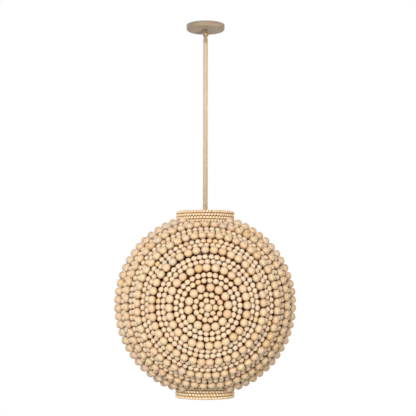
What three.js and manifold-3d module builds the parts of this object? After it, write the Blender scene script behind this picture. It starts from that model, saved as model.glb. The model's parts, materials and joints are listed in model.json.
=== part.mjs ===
// A beaded globe chandelier: rings of threaded wooden beads round an iron cage,
// hung by a stem and a small ball swivel from a round ceiling canopy.
// Millimetres, +Z up. The origin is on the ceiling, on the axis of the stem.
// The front of the globe faces -Y, and its bead rings lie round the Y axis.
import * as THREE from "three";
import { mergeVertices } from "three/addons/utils/BufferGeometryUtils.js";
import Module from "manifold-3d";

const wasm = await Module();
wasm.setup();

// Clearances
const CLEARANCE = 0.3; // between any two pieces that seat on each other
const OVERRUN = 2; // how far a cutter runs past what it cuts

// Facets round a turned piece
const ROUND_STEPS = 20; // canopy, bands and collars
const TURNED_STEPS = 10; // stem and lamps
const SWIVEL_STEPS = 16;
const SWIVEL_ARC_STEPS = 5; // along a bore of the swivel
const SMALL_STEPS = 6; // screws and other small rounds

// Ceiling fitting
const CROSSBAR_LENGTH = 100;
const CROSSBAR_WIDTH = 20;
const CROSSBAR_THICKNESS = 2.5;
const BOX_SCREW_SPACING = 82.6;
const BOX_SLOT_LENGTH = 14;
const BOX_SCREW_D = 4.2;
const BOX_SCREW_HEAD_D = 8.4;
const BOX_SCREW_HEAD_HEIGHT = 2.6;
const BOX_SCREW_REACH = 12; // above the ceiling, inside the box
const NIPPLE_D = 9.8;
const NIPPLE_BORE_D = 6.6;
const NIPPLE_ABOVE_CROSSBAR = 3;
const NUT_ACROSS_FLATS = 15;
const NUT_HEIGHT = 4;

// Canopy
const CANOPY_D = 127;
const CANOPY_HEIGHT = 18;
const CANOPY_WALL = 1.5;
const CANOPY_EDGE_R = 4.5;
const RING_NUT_D = 26;
const RING_NUT_HEIGHT = 2.6;
const RING_NUT_CHAMFER = 0.7;

// Swivel
const SWIVEL_DROP = 32; // ceiling to the middle of the ball
const SHELL_WALL = 1.5;
const SHELL_NECK_R = 7.5;
const SHELL_NECK_HEIGHT = 10.8; // above the middle of the ball
const SHELL_LIP_ANGLE = 45; // degrees, half the mouth's angle
const SEAT_WALL = 0.9;
const SEAT_LIP_ANGLE = 48;
const SEAT_TOP_ANGLE = 60; // degrees from straight up
const KEY_PIN_R = 1;
const KEY_PIN_DEPTH = 2; // into the ball
const BALL_R = 7;
const BALL_NECK_R = 3;
const BALL_NECK_LENGTH = 12.6; // below the middle of the ball
const WIRE_BORE_R = 2.2;
const NIPPLE_TO_BALL = 6.8; // the nipple's end above the middle of the ball
const SOCKET_R = 7.6;
const SOCKET_HEIGHT = 16.4;
const SOCKET_CHAMFER = 1;
const SOCKET_DEPTH = 12.5;

// Stem
const STEM_R = 7.9;
const STEM_BORE_R = 3.8;
const SPIGOT_R = 5;
const SPIGOT_LENGTH = 12;
const COUPLING_R = 8.1;
const COUPLING_LENGTH = 29;
const COUPLING_CHAMFER = 0.8;
const LOWER_STEM_R = 5;
const LOWER_STEM_BORE_R = 3.4;

// Globe and cage
const GLOBE_DROP = 925; // ceiling to the middle of the globe
const CAGE_R = 270.6; // outer face of the ribs and the middle hoop
const RIB_THICKNESS = 5;
const RIB_WIDTH = 6;
const HOOP_HEIGHT = 6;
const RIB_INNER_STEPS = 8;
const SIDE_RIB_STEPS = 12;
const BAND_OUTER_R = 86.4;
const BAND_WALL = 2;
const BAND_DEPTH = 20.6; // from the crown of the cage's sphere down to the band's inner end

// Collar beads
const COLLAR_DEPTH = 7.6; // from the crown of the cage's sphere down to the first row
const COLLAR_BEAD_D = 9.5;
const COLLAR_ROWS = 4;
const COLLAR_VALLEY_SHARE = 0.38; // how deep the groove between two rows goes, as a share of a bead

// Spider that hangs the cage on the stem
const HUB_R = 15;
const HUB_HEIGHT = 8;
const SPIDER_ARMS = 3;
const SPIDER_ARM_WIDTH = 12;
const SPIDER_ARM_THICKNESS = 3;
const SPIDER_TAB_HEIGHT = 14;

// Lamps
const CLUSTER_ABOVE_CENTRE = 45;
const CLUSTER_R = 19;
const CLUSTER_HEIGHT = 34;
const CLUSTER_EDGE_R = 5;
const LAMPS = 3;
const LAMP_TILT = 55; // degrees from straight down
const BOSS_R = 9;
const BOSS_REACH = 30;
const HOLDER_R = 14;
const HOLDER_LENGTH = 38;
const HOLDER_BORE_R = 11.9;
const HOLDER_DEPTH = 26;
const HOLDER_EDGE = 2.5;
const BULB_BASE_R = 11.6;
const BULB_BASE_LENGTH = 27;
const BULB_R = 22.5;
const BULB_LENGTH = 78;
const BULB_FLARE_ANGLE = 135; // degrees from straight up, where the flare meets the round envelope
const FINIAL_R = 8;
const FINIAL_HEIGHT = 16;
const FINIAL_TIP_ANGLE = 60; // degrees from straight up, where the ball at its tip begins
const FINIAL_STEM_R = 3.5;
const FINIAL_STEM_LENGTH = 8;

// Beads
const LARGE_BEAD_D = 25.4;
const SMALL_BEAD_D = 17.1;
const LARGE_PITCH = 26.4; // along the wire
const SMALL_PITCH = 17.8;
const BEAD_CORNER_SHARE = 0.85; // half width of a bead's foot, as a share of its radius
const BEAD_FOOT_SHARE = -0.1; // height of a bead's foot over its centre, as a share of its radius
const CREST_SHARE = 1; // height of a bead's crest over its centre, as a share of its radius
const CENTRE_BEAD_SIDES = 8;
const SHOULDER_ANGLE = 50; // degrees, where the centre bead's dome bends
const INNER_STEP_LENGTH = 48; // most length of a facet on the inside of a ring
const ARC_INNER_STEPS = 11;

// Finishes
const paint = (color, roughness, metalness) =>
  new THREE.MeshStandardMaterial({ color, roughness, metalness });
const WOOD_LARGE = paint(0xd9bd94, 0.55, 0);
const WOOD_SMALL = paint(0xcfae83, 0.55, 0);
const WOOD_TINY = paint(0xd2b07f, 0.5, 0);
const STEM_PAINT = paint(0xcfb58c, 0.5, 0.1);
const CANOPY_PAINT = paint(0xa08c72, 0.55, 0.1);
const BRASS = paint(0xa98a4a, 0.35, 0.9);
const DARK_METAL = paint(0x6b5a48, 0.45, 0.7);
const IRON = paint(0x8d7a60, 0.6, 0.4);
const ZINC = paint(0xb4b6b4, 0.4, 0.9);
const HOLDER_CLAY = paint(0xe6e0d2, 0.6, 0);
const BULB_GLASS = paint(0xf4efe2, 0.2, 0);

const deg = THREE.MathUtils.degToRad;
const part = new THREE.Group();
const globe = new THREE.Group();
globe.position.z = -GLOBE_DROP;
const swivel = new THREE.Group();
swivel.position.z = -SWIVEL_DROP;
part.add(globe, swivel);

function add(group, name, geometry, material) {
  const mesh = new THREE.Mesh(geometry, material);
  mesh.name = name;
  group.add(mesh);
  return mesh;
}

// Six times the signed volume under an indexed geometry: it is negative where the faces point inwards.
function signedVolume(positions, index) {
  const a = new THREE.Vector3();
  const b = new THREE.Vector3();
  const c = new THREE.Vector3();
  let sum = 0;
  for (let i = 0; i < index.length; i += 3) {
    a.fromArray(positions, 3 * index[i]);
    b.fromArray(positions, 3 * index[i + 1]);
    c.fromArray(positions, 3 * index[i + 2]);
    sum += a.dot(b.cross(c));
  }
  return sum;
}

// A geometry as one closed surface: equal points merged, empty faces dropped, all faces turned outwards.
function closed(geometry) {
  const bare = geometry.clone();
  bare.deleteAttribute("normal");
  bare.deleteAttribute("uv");
  const merged = mergeVertices(bare);
  const positions = merged.attributes.position.array;
  const index = [];
  const all = merged.index.array;
  for (let i = 0; i < all.length; i += 3) {
    const [a, b, c] = [all[i], all[i + 1], all[i + 2]];
    if (a !== b && b !== c && a !== c) index.push(a, b, c);
  }
  if (signedVolume(positions, index) < 0) index.reverse();
  return new THREE.BufferGeometry()
    .setAttribute("position", new THREE.BufferAttribute(positions, 3))
    .setIndex(index);
}

// A body from a list of points and a list of triangles.
function bodyOf(points, faces) {
  const positions = new Float32Array(points.flat());
  return closed(
    new THREE.BufferGeometry()
      .setAttribute("position", new THREE.BufferAttribute(positions, 3))
      .setIndex(faces.flat()),
  );
}

// A profile of [radius, height] points turned round the Z axis.
function turned(profile, segments) {
  const points = profile.map(([r, z]) => new THREE.Vector2(r, z));
  points.push(points[0].clone());
  return closed(new THREE.LatheGeometry(points, segments).rotateX(Math.PI / 2));
}

// Points of an arc in a profile, for angles in degrees from straight up.
function arc(radius, from, to, steps, r0 = 0, z0 = 0) {
  return Array.from({ length: steps + 1 }, (_, i) => {
    const a = deg(from + ((to - from) * i) / steps);
    return [r0 + radius * Math.sin(a), z0 + radius * Math.cos(a)];
  });
}

// A flat outline of [x, y] points, with holes, made a plate from z = low up to z = low + height.
function plate(outline, holes, low, height) {
  const shape = new THREE.Shape(outline.map(([x, y]) => new THREE.Vector2(x, y)));
  for (const hole of holes) {
    shape.holes.push(new THREE.Path(hole.map(([x, y]) => new THREE.Vector2(x, y))));
  }
  const made = new THREE.ExtrudeGeometry(shape, { depth: height, bevelEnabled: false, steps: 1 });
  return closed(made.translate(0, 0, low));
}

const ringPoints = (radius, count, turn = 0) =>
  Array.from({ length: count }, (_, i) => {
    const a = turn + (2 * Math.PI * i) / count;
    return [radius * Math.cos(a), radius * Math.sin(a)];
  });

const toSolid = (geometry) =>
  new wasm.Manifold(
    new wasm.Mesh({
      numProp: 3,
      vertProperties: new Float32Array(geometry.attributes.position.array),
      triVerts: new Uint32Array(geometry.index.array),
    }),
  );

function fromSolid(solid) {
  const mesh = solid.getMesh();
  return new THREE.BufferGeometry()
    .setAttribute("position", new THREE.BufferAttribute(mesh.vertProperties, 3))
    .setIndex(new THREE.BufferAttribute(mesh.triVerts, 1));
}

const join = (...pieces) => fromSolid(pieces.map(toSolid).reduce((a, b) => a.add(b)));
const cut = (piece, ...tools) =>
  fromSolid(tools.map(toSolid).reduce((a, b) => a.subtract(b), toSolid(piece)));

// A round bar from z = low to z = high.
const bar = (radius, low, high, segments) =>
  turned([[0, low], [radius, low], [radius, high], [0, high]], segments);

// A hexagon nut with a round bore.
function hexNut(acrossFlats, boreR, low, height) {
  const corner = acrossFlats / 2 / Math.cos(Math.PI / 6);
  return plate(ringPoints(corner, 6), [ringPoints(boreR, TURNED_STEPS)], low, height);
}

// Ceiling fitting
const nippleHoleR = NIPPLE_D / 2 + CLEARANCE;
const canopyFloor = -CANOPY_HEIGHT;
const ringNutLow = canopyFloor - CLEARANCE - RING_NUT_HEIGHT;

// A bar's outline with round ends: half is from its middle to the centre of an end.
function roundEnded(half, radius, steps, centre = 0) {
  const end = (side) =>
    Array.from({ length: steps + 1 }, (_, i) => {
      const a = (Math.PI * i) / steps - Math.PI / 2;
      return [centre + side * (half + radius * Math.cos(a)), side * radius * Math.sin(a)];
    });
  return [...end(1), ...end(-1)];
}

function crossbar() {
  const endR = CROSSBAR_WIDTH / 2;
  const slotR = BOX_SCREW_D / 2 + CLEARANCE;
  const slot = (side) =>
    roundEnded(BOX_SLOT_LENGTH / 2 - slotR, slotR, 2, (side * BOX_SCREW_SPACING) / 2);
  return plate(
    roundEnded(CROSSBAR_LENGTH / 2 - endR, endR, 4),
    [ringPoints(nippleHoleR, TURNED_STEPS), slot(1), slot(-1)],
    -CROSSBAR_THICKNESS,
    CROSSBAR_THICKNESS,
  );
}

function boxScrew() {
  const under = -CROSSBAR_THICKNESS - CLEARANCE;
  const shankR = BOX_SCREW_D / 2;
  const headR = BOX_SCREW_HEAD_D / 2;
  const headLow = under - BOX_SCREW_HEAD_HEIGHT;
  return turned(
    [
      [0, BOX_SCREW_REACH],
      [shankR, BOX_SCREW_REACH],
      [shankR, under],
      [headR, under],
      [headR, headLow + BOX_SCREW_HEAD_HEIGHT / 2],
      [headR / 2, headLow],
      [0, headLow],
    ],
    SMALL_STEPS,
  );
}

add(part, "mounting_crossbar", crossbar(), ZINC);
for (const [name, side] of [["left", -1], ["right", 1]]) {
  const screw = add(part, "box_screw_" + name, boxScrew(), ZINC);
  screw.position.x = (side * BOX_SCREW_SPACING) / 2;
}

const nippleLow = -SWIVEL_DROP + NIPPLE_TO_BALL;
add(
  part,
  "threaded_nipple",
  turned(
    [
      [NIPPLE_BORE_D / 2, nippleLow],
      [NIPPLE_D / 2, nippleLow],
      [NIPPLE_D / 2, NIPPLE_ABOVE_CROSSBAR],
      [NIPPLE_BORE_D / 2, NIPPLE_ABOVE_CROSSBAR],
    ],
    TURNED_STEPS,
  ),
  BRASS,
);
add(
  part,
  "nipple_lock_nut",
  hexNut(NUT_ACROSS_FLATS, nippleHoleR, -CROSSBAR_THICKNESS - CLEARANCE - NUT_HEIGHT, NUT_HEIGHT),
  BRASS,
);

// Canopy, a pan with a rounded lower edge
function canopy() {
  const r = CANOPY_D / 2;
  const bend = r - CANOPY_EDGE_R;
  const innerEdge = CANOPY_EDGE_R - CANOPY_WALL;
  const bendHeight = canopyFloor + CANOPY_EDGE_R;
  return turned(
    [
      [r, 0],
      ...arc(CANOPY_EDGE_R, 90, 180, 2, bend, bendHeight),
      [nippleHoleR, canopyFloor],
      [nippleHoleR, canopyFloor + CANOPY_WALL],
      ...arc(innerEdge, 180, 90, 1, bend, bendHeight),
      [r - CANOPY_WALL, 0],
    ],
    ROUND_STEPS,
  );
}
add(part, "canopy", canopy(), CANOPY_PAINT);

add(
  part,
  "canopy_ring_nut",
  turned(
    [
      [nippleHoleR, ringNutLow],
      [RING_NUT_D / 2 - RING_NUT_CHAMFER, ringNutLow],
      [RING_NUT_D / 2, ringNutLow + RING_NUT_CHAMFER],
      [RING_NUT_D / 2, ringNutLow + RING_NUT_HEIGHT],
      [nippleHoleR, ringNutLow + RING_NUT_HEIGHT],
    ],
    TURNED_STEPS,
  ),
  DARK_METAL,
);

// The swivel is a ball in a cup in a shell. Their radii grow outwards from the ball's.
const seatBoreR = BALL_R + CLEARANCE;
const seatOuterR = seatBoreR + SEAT_WALL;
const shellBoreR = seatOuterR + CLEARANCE;
const shellOuterR = shellBoreR + SHELL_WALL;
const upAngle = (radius, sphereR) => THREE.MathUtils.radToDeg(Math.asin(radius / sphereR));

// The profile of a round bore whose facets, and not only its corners, stand clear of a ball that turns in it.
function boreArc(radius, from, to) {
  const facet = Math.abs(to - from) / SWIVEL_ARC_STEPS;
  const cornerR = radius / Math.cos(Math.PI / SWIVEL_STEPS) / Math.cos(deg(facet / 2));
  return arc(cornerR, from, to, SWIVEL_ARC_STEPS);
}

// Swivel shell: a neck on the nipple over a hollow ball with an open mouth below
add(
  swivel,
  "swivel_shell",
  turned(
    [
      [nippleHoleR, SHELL_NECK_HEIGHT],
      [SHELL_NECK_R, SHELL_NECK_HEIGHT],
      ...arc(shellOuterR, upAngle(SHELL_NECK_R, shellOuterR), 180 - SHELL_LIP_ANGLE, SWIVEL_ARC_STEPS),
      ...boreArc(shellBoreR, 180 - SHELL_LIP_ANGLE, upAngle(nippleHoleR, shellBoreR)),
    ],
    SWIVEL_STEPS,
  ),
  BRASS,
);

// Swivel seat: a cup that turns in the shell, with two key pins along X that the ball tilts on
const pinTip = BALL_R - KEY_PIN_DEPTH;
function swivelSeat() {
  const cup = turned(
    [
      ...arc(seatOuterR, SEAT_TOP_ANGLE, 180 - SEAT_LIP_ANGLE, SWIVEL_ARC_STEPS),
      ...boreArc(seatBoreR, 180 - SEAT_LIP_ANGLE, SEAT_TOP_ANGLE),
    ],
    SWIVEL_STEPS,
  );
  const pin = (side) =>
    bar(KEY_PIN_R, pinTip, seatBoreR + SEAT_WALL / 2, SMALL_STEPS).rotateY((side * Math.PI) / 2);
  return join(cup, pin(1), pin(-1));
}
add(swivel, "swivel_seat", swivelSeat(), BRASS);

// Swivel ball, its neck and the socket that the stem screws into
const socketTop = -BALL_NECK_LENGTH;
const socketLow = socketTop - SOCKET_HEIGHT;
const socketFloor = socketLow + SOCKET_DEPTH;
function swivelBall() {
  const body = turned(
    [
      ...arc(BALL_R, upAngle(WIRE_BORE_R, BALL_R), 180 - upAngle(BALL_NECK_R, BALL_R), 6),
      [BALL_NECK_R, socketTop],
      [SOCKET_R - SOCKET_CHAMFER, socketTop],
      [SOCKET_R, socketTop - SOCKET_CHAMFER],
      [SOCKET_R, socketLow],
      [SPIGOT_R + CLEARANCE, socketLow],
      [SPIGOT_R + CLEARANCE, socketFloor],
      [WIRE_BORE_R, socketFloor],
    ],
    SWIVEL_STEPS,
  );
  const pinBoreR = (KEY_PIN_R + CLEARANCE) / Math.cos(Math.PI / SMALL_STEPS);
  const bore = (side) =>
    bar(pinBoreR, pinTip - CLEARANCE, BALL_R + OVERRUN, SMALL_STEPS).rotateY((side * Math.PI) / 2);
  return cut(body, bore(1), bore(-1));
}
add(swivel, "swivel_ball", swivelBall(), BRASS);

// Stem, with a spigot at each end
const collarStart = CAGE_R - COLLAR_DEPTH;
const collarEnd = collarStart + COLLAR_ROWS * COLLAR_BEAD_D;
const stemTop = -SWIVEL_DROP + socketLow - CLEARANCE;
const hubTop = -GLOBE_DROP + collarEnd - HUB_HEIGHT;
const couplingLow = hubTop + CLEARANCE;
const couplingTop = couplingLow + COUPLING_LENGTH;
const stemLow = couplingTop + CLEARANCE;
const spigotDrop = SPIGOT_LENGTH + CLEARANCE;
add(
  part,
  "stem_tube",
  turned(
    [
      [STEM_BORE_R, stemTop + SPIGOT_LENGTH],
      [SPIGOT_R, stemTop + SPIGOT_LENGTH],
      [SPIGOT_R, stemTop],
      [STEM_R, stemTop],
      [STEM_R, stemLow],
      [SPIGOT_R, stemLow],
      [SPIGOT_R, stemLow - SPIGOT_LENGTH],
      [STEM_BORE_R, stemLow - SPIGOT_LENGTH],
    ],
    TURNED_STEPS,
  ),
  STEM_PAINT,
);
add(
  part,
  "stem_coupling",
  turned(
    [
      [SPIGOT_R + CLEARANCE, couplingLow],
      [COUPLING_R, couplingLow],
      [COUPLING_R, couplingTop - COUPLING_CHAMFER],
      [COUPLING_R - COUPLING_CHAMFER, couplingTop],
      [SPIGOT_R + CLEARANCE, couplingTop],
    ],
    TURNED_STEPS,
  ),
  STEM_PAINT,
);

// Spider: a hub under the coupling, with arms out to tabs on the inside of the top band
const hubLow = hubTop - HUB_HEIGHT;
const lowerStemHoleR = LOWER_STEM_R + CLEARANCE;
function spider() {
  const hole = ringPoints(lowerStemHoleR, TURNED_STEPS);
  const hub = plate(ringPoints(HUB_R, TURNED_STEPS), [hole], hubLow, HUB_HEIGHT);
  const tabFace = (BAND_OUTER_R - BAND_WALL) * Math.cos(Math.PI / ROUND_STEPS) - CLEARANCE;
  // The tab's flat outer face stays inside the band's round bore across its whole width.
  const reach = Math.sqrt(tabFace ** 2 - (SPIDER_ARM_WIDTH / 2) ** 2);
  const pieces = [hub];
  for (let i = 0; i < SPIDER_ARMS; i++) {
    const turn = Math.PI / 2 + (2 * Math.PI * i) / SPIDER_ARMS;
    const root = (HUB_R + LOWER_STEM_R) / 2;
    const arm = new THREE.BoxGeometry(reach - root, SPIDER_ARM_WIDTH, SPIDER_ARM_THICKNESS);
    arm.translate((reach + root) / 2, 0, hubLow + SPIDER_ARM_THICKNESS / 2);
    const tab = new THREE.BoxGeometry(SPIDER_ARM_THICKNESS, SPIDER_ARM_WIDTH, SPIDER_TAB_HEIGHT);
    tab.translate(
      reach - SPIDER_ARM_THICKNESS / 2,
      0,
      hubLow + SPIDER_ARM_THICKNESS - SPIDER_TAB_HEIGHT / 2,
    );
    pieces.push(closed(arm.rotateZ(turn)), closed(tab.rotateZ(turn)));
  }
  return join(...pieces);
}
add(part, "top_spider", spider(), IRON);
add(
  part,
  "spider_lock_nut",
  hexNut(NUT_ACROSS_FLATS, lowerStemHoleR, hubLow - CLEARANCE - NUT_HEIGHT, NUT_HEIGHT),
  BRASS,
);

// Lower stem, from inside the coupling down into the lamp cluster
const clusterTop = -GLOBE_DROP + CLUSTER_ABOVE_CENTRE + CLUSTER_HEIGHT / 2;
const lowerStemTop = couplingTop - spigotDrop - CLEARANCE;
add(
  part,
  "lower_stem",
  turned(
    [
      [LOWER_STEM_BORE_R, clusterTop + CLEARANCE],
      [LOWER_STEM_R, clusterTop + CLEARANCE],
      [LOWER_STEM_R, lowerStemTop],
      [LOWER_STEM_BORE_R, lowerStemTop],
    ],
    TURNED_STEPS,
  ),
  BRASS,
);

// Lamp cluster: a turned body with a round boss for each lamp holder
const lamps = new THREE.Group();
lamps.position.z = CLUSTER_ABOVE_CENTRE;
globe.add(lamps);
const lampTurn = (i) => Math.PI / 2 + (2 * Math.PI * i) / LAMPS;
const aimed = (geometry, i) => geometry.rotateY(deg(180 - LAMP_TILT)).rotateZ(lampTurn(i));

function lampCluster() {
  const half = CLUSTER_HEIGHT / 2;
  const bend = CLUSTER_R - CLUSTER_EDGE_R;
  const body = turned(
    [
      [0, half],
      ...arc(CLUSTER_EDGE_R, 0, 90, 1, bend, half - CLUSTER_EDGE_R),
      ...arc(CLUSTER_EDGE_R, 90, 180, 1, bend, -half + CLUSTER_EDGE_R),
      [0, -half],
    ],
    TURNED_STEPS,
  );
  const bosses = Array.from({ length: LAMPS }, (_, i) => aimed(bar(BOSS_R, 0, BOSS_REACH, SMALL_STEPS), i));
  const holeTop = -half + FINIAL_STEM_LENGTH + CLEARANCE;
  const finialHole = bar(FINIAL_STEM_R + CLEARANCE, -half - OVERRUN, holeTop, SMALL_STEPS);
  return cut(join(body, ...bosses), finialHole);
}
add(lamps, "lamp_cluster", lampCluster(), IRON);

const holderBack = BOSS_REACH + CLEARANCE;
const holderFront = holderBack + HOLDER_LENGTH;
function lampHolder() {
  return turned(
    [
      [0, holderBack],
      [HOLDER_R - HOLDER_EDGE, holderBack],
      [HOLDER_R, holderBack + HOLDER_EDGE],
      [HOLDER_R, holderFront],
      [HOLDER_BORE_R, holderFront],
      [HOLDER_BORE_R, holderFront - HOLDER_DEPTH],
      [0, holderFront - HOLDER_DEPTH],
    ],
    TURNED_STEPS,
  );
}

// Bulb: a screw base in the holder, a short flare and a round envelope
function bulb() {
  const back = holderFront - HOLDER_DEPTH + CLEARANCE;
  const centre = back + BULB_LENGTH - BULB_R;
  return turned(
    [
      [0, back],
      [BULB_BASE_R, back],
      [BULB_BASE_R, back + BULB_BASE_LENGTH],
      ...arc(BULB_R, BULB_FLARE_ANGLE, 0, 3, 0, centre),
    ],
    TURNED_STEPS,
  );
}
for (let i = 0; i < LAMPS; i++) {
  add(lamps, "lamp_holder_" + (i + 1), aimed(lampHolder(), i), HOLDER_CLAY);
  add(lamps, "bulb_" + (i + 1), aimed(bulb(), i), BULB_GLASS);
}

const clusterLow = -CLUSTER_HEIGHT / 2;
add(
  lamps,
  "cluster_finial",
  turned(
    [
      [0, clusterLow + FINIAL_STEM_LENGTH],
      [FINIAL_STEM_R, clusterLow + FINIAL_STEM_LENGTH],
      [FINIAL_STEM_R, clusterLow - CLEARANCE],
      [FINIAL_R, clusterLow - CLEARANCE],
      [FINIAL_R, clusterLow - CLEARANCE - FINIAL_HEIGHT / 4],
      [FINIAL_R / 2, clusterLow - CLEARANCE - FINIAL_HEIGHT / 2],
      ...arc(FINIAL_HEIGHT / 4, FINIAL_TIP_ANGLE, 180, 2, 0, clusterLow - CLEARANCE - (FINIAL_HEIGHT * 3) / 4),
    ],
    SMALL_STEPS,
  ),
  BRASS,
);

// Collars: an iron band with four rows of tiny beads round it, at the top and the bottom
const collarOuterR = BAND_OUTER_R + CLEARANCE + COLLAR_BEAD_D;
const bandLow = CAGE_R - BAND_DEPTH;

function band() {
  return turned(
    [
      [BAND_OUTER_R - BAND_WALL, bandLow],
      [BAND_OUTER_R, bandLow],
      [BAND_OUTER_R, collarEnd - CLEARANCE],
      [BAND_OUTER_R - BAND_WALL, collarEnd - CLEARANCE],
    ],
    ROUND_STEPS,
  );
}

function collarBeads() {
  const innerR = BAND_OUTER_R + CLEARANCE;
  const valleyR = collarOuterR - COLLAR_VALLEY_SHARE * COLLAR_BEAD_D;
  const profile = [[innerR, collarStart], [valleyR, collarStart]];
  for (let row = 0; row < COLLAR_ROWS; row++) {
    const middle = collarStart + (row + 1 / 2) * COLLAR_BEAD_D;
    profile.push([collarOuterR, middle], [valleyR, middle + COLLAR_BEAD_D / 2]);
  }
  profile.push([innerR, collarEnd]);
  return turned(profile, ROUND_STEPS);
}

for (const [name, flip] of [["top", 0], ["bottom", Math.PI]]) {
  add(globe, name + "_band", band().rotateX(flip), IRON);
  add(globe, name + "_collar_beads", collarBeads().rotateX(flip), WOOD_TINY);
}

// The bead rows. A row's angle is measured at the middle of the globe, from the front (-Y) round to the back.
// A bead touches the cage's sphere and its neighbours in the next rows.
const seatR = CAGE_R + CLEARANCE;
const LARGE = { r: LARGE_BEAD_D / 2, pitch: LARGE_PITCH };
const SMALL = { r: SMALL_BEAD_D / 2, pitch: SMALL_PITCH };
for (const bead of [LARGE, SMALL]) bead.centreR = seatR + bead.r;

// The angle between two rows whose beads touch, less the clearance, by the cosine rule.
function rowStep(a, b) {
  const apart = a.r + b.r + CLEARANCE;
  return Math.acos(
    (a.centreR ** 2 + b.centreR ** 2 - apart ** 2) / (2 * a.centreR * b.centreR),
  );
}
const largeToSmall = rowStep(LARGE, SMALL);
const smallToSmall = rowStep(SMALL, SMALL);
const period = 2 * largeToSmall + smallToSmall;
const periods = Math.floor((Math.PI / 2 - largeToSmall) / period);
const slack = (Math.PI / 2 - largeToSmall - periods * period) / (3 * periods + 1);

// One dome's rows from its pole to the row before the middle one.
const domeRows = [{ bead: LARGE, angle: 0 }];
for (let k = 0; k < periods; k++) {
  const start = domeRows.at(-1).angle;
  const first = start + largeToSmall + slack;
  const second = first + smallToSmall + slack;
  domeRows.push({ bead: SMALL, angle: first, pair: k });
  domeRows.push({ bead: SMALL, angle: second, pair: k });
  domeRows.push({ bead: LARGE, angle: second + largeToSmall + slack });
}
const backOf = (row) => ({ ...row, angle: Math.PI - row.angle });

// A point of the globe by its radius, its angle from the front and its turn round the Y axis from the top.
function globePoint(radius, angle, turn) {
  const rho = radius * Math.sin(angle);
  return [rho * Math.sin(turn), -radius * Math.cos(angle), rho * Math.cos(turn)];
}

// The radius and angle of a point beside a row's centre line: out by "out", and along the globe by "along".
function beside(row, out, along) {
  const radius = row.bead.centreR + out;
  return { radius: Math.hypot(radius, along), angle: row.angle + Math.atan2(along, radius) };
}

// Where a row meets the collar: the smallest turn at which both feet of its beads stand clear of it.
function collarTurn(row) {
  const clear = collarOuterR + CLEARANCE;
  const foot = BEAD_CORNER_SHARE * row.bead.r;
  const turns = [-foot, foot].map((along) => {
    const { radius, angle } = beside(row, BEAD_FOOT_SHARE * row.bead.r, along);
    const across = Math.sqrt(Math.max(0, clear ** 2 - (radius * Math.cos(angle)) ** 2));
    return Math.asin(Math.min(1, across / (radius * Math.sin(angle))));
  });
  return Math.max(...turns);
}
const meetsCollar = (row) =>
  row.bead.centreR * Math.abs(Math.cos(row.angle)) < collarOuterR + CLEARANCE;

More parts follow.
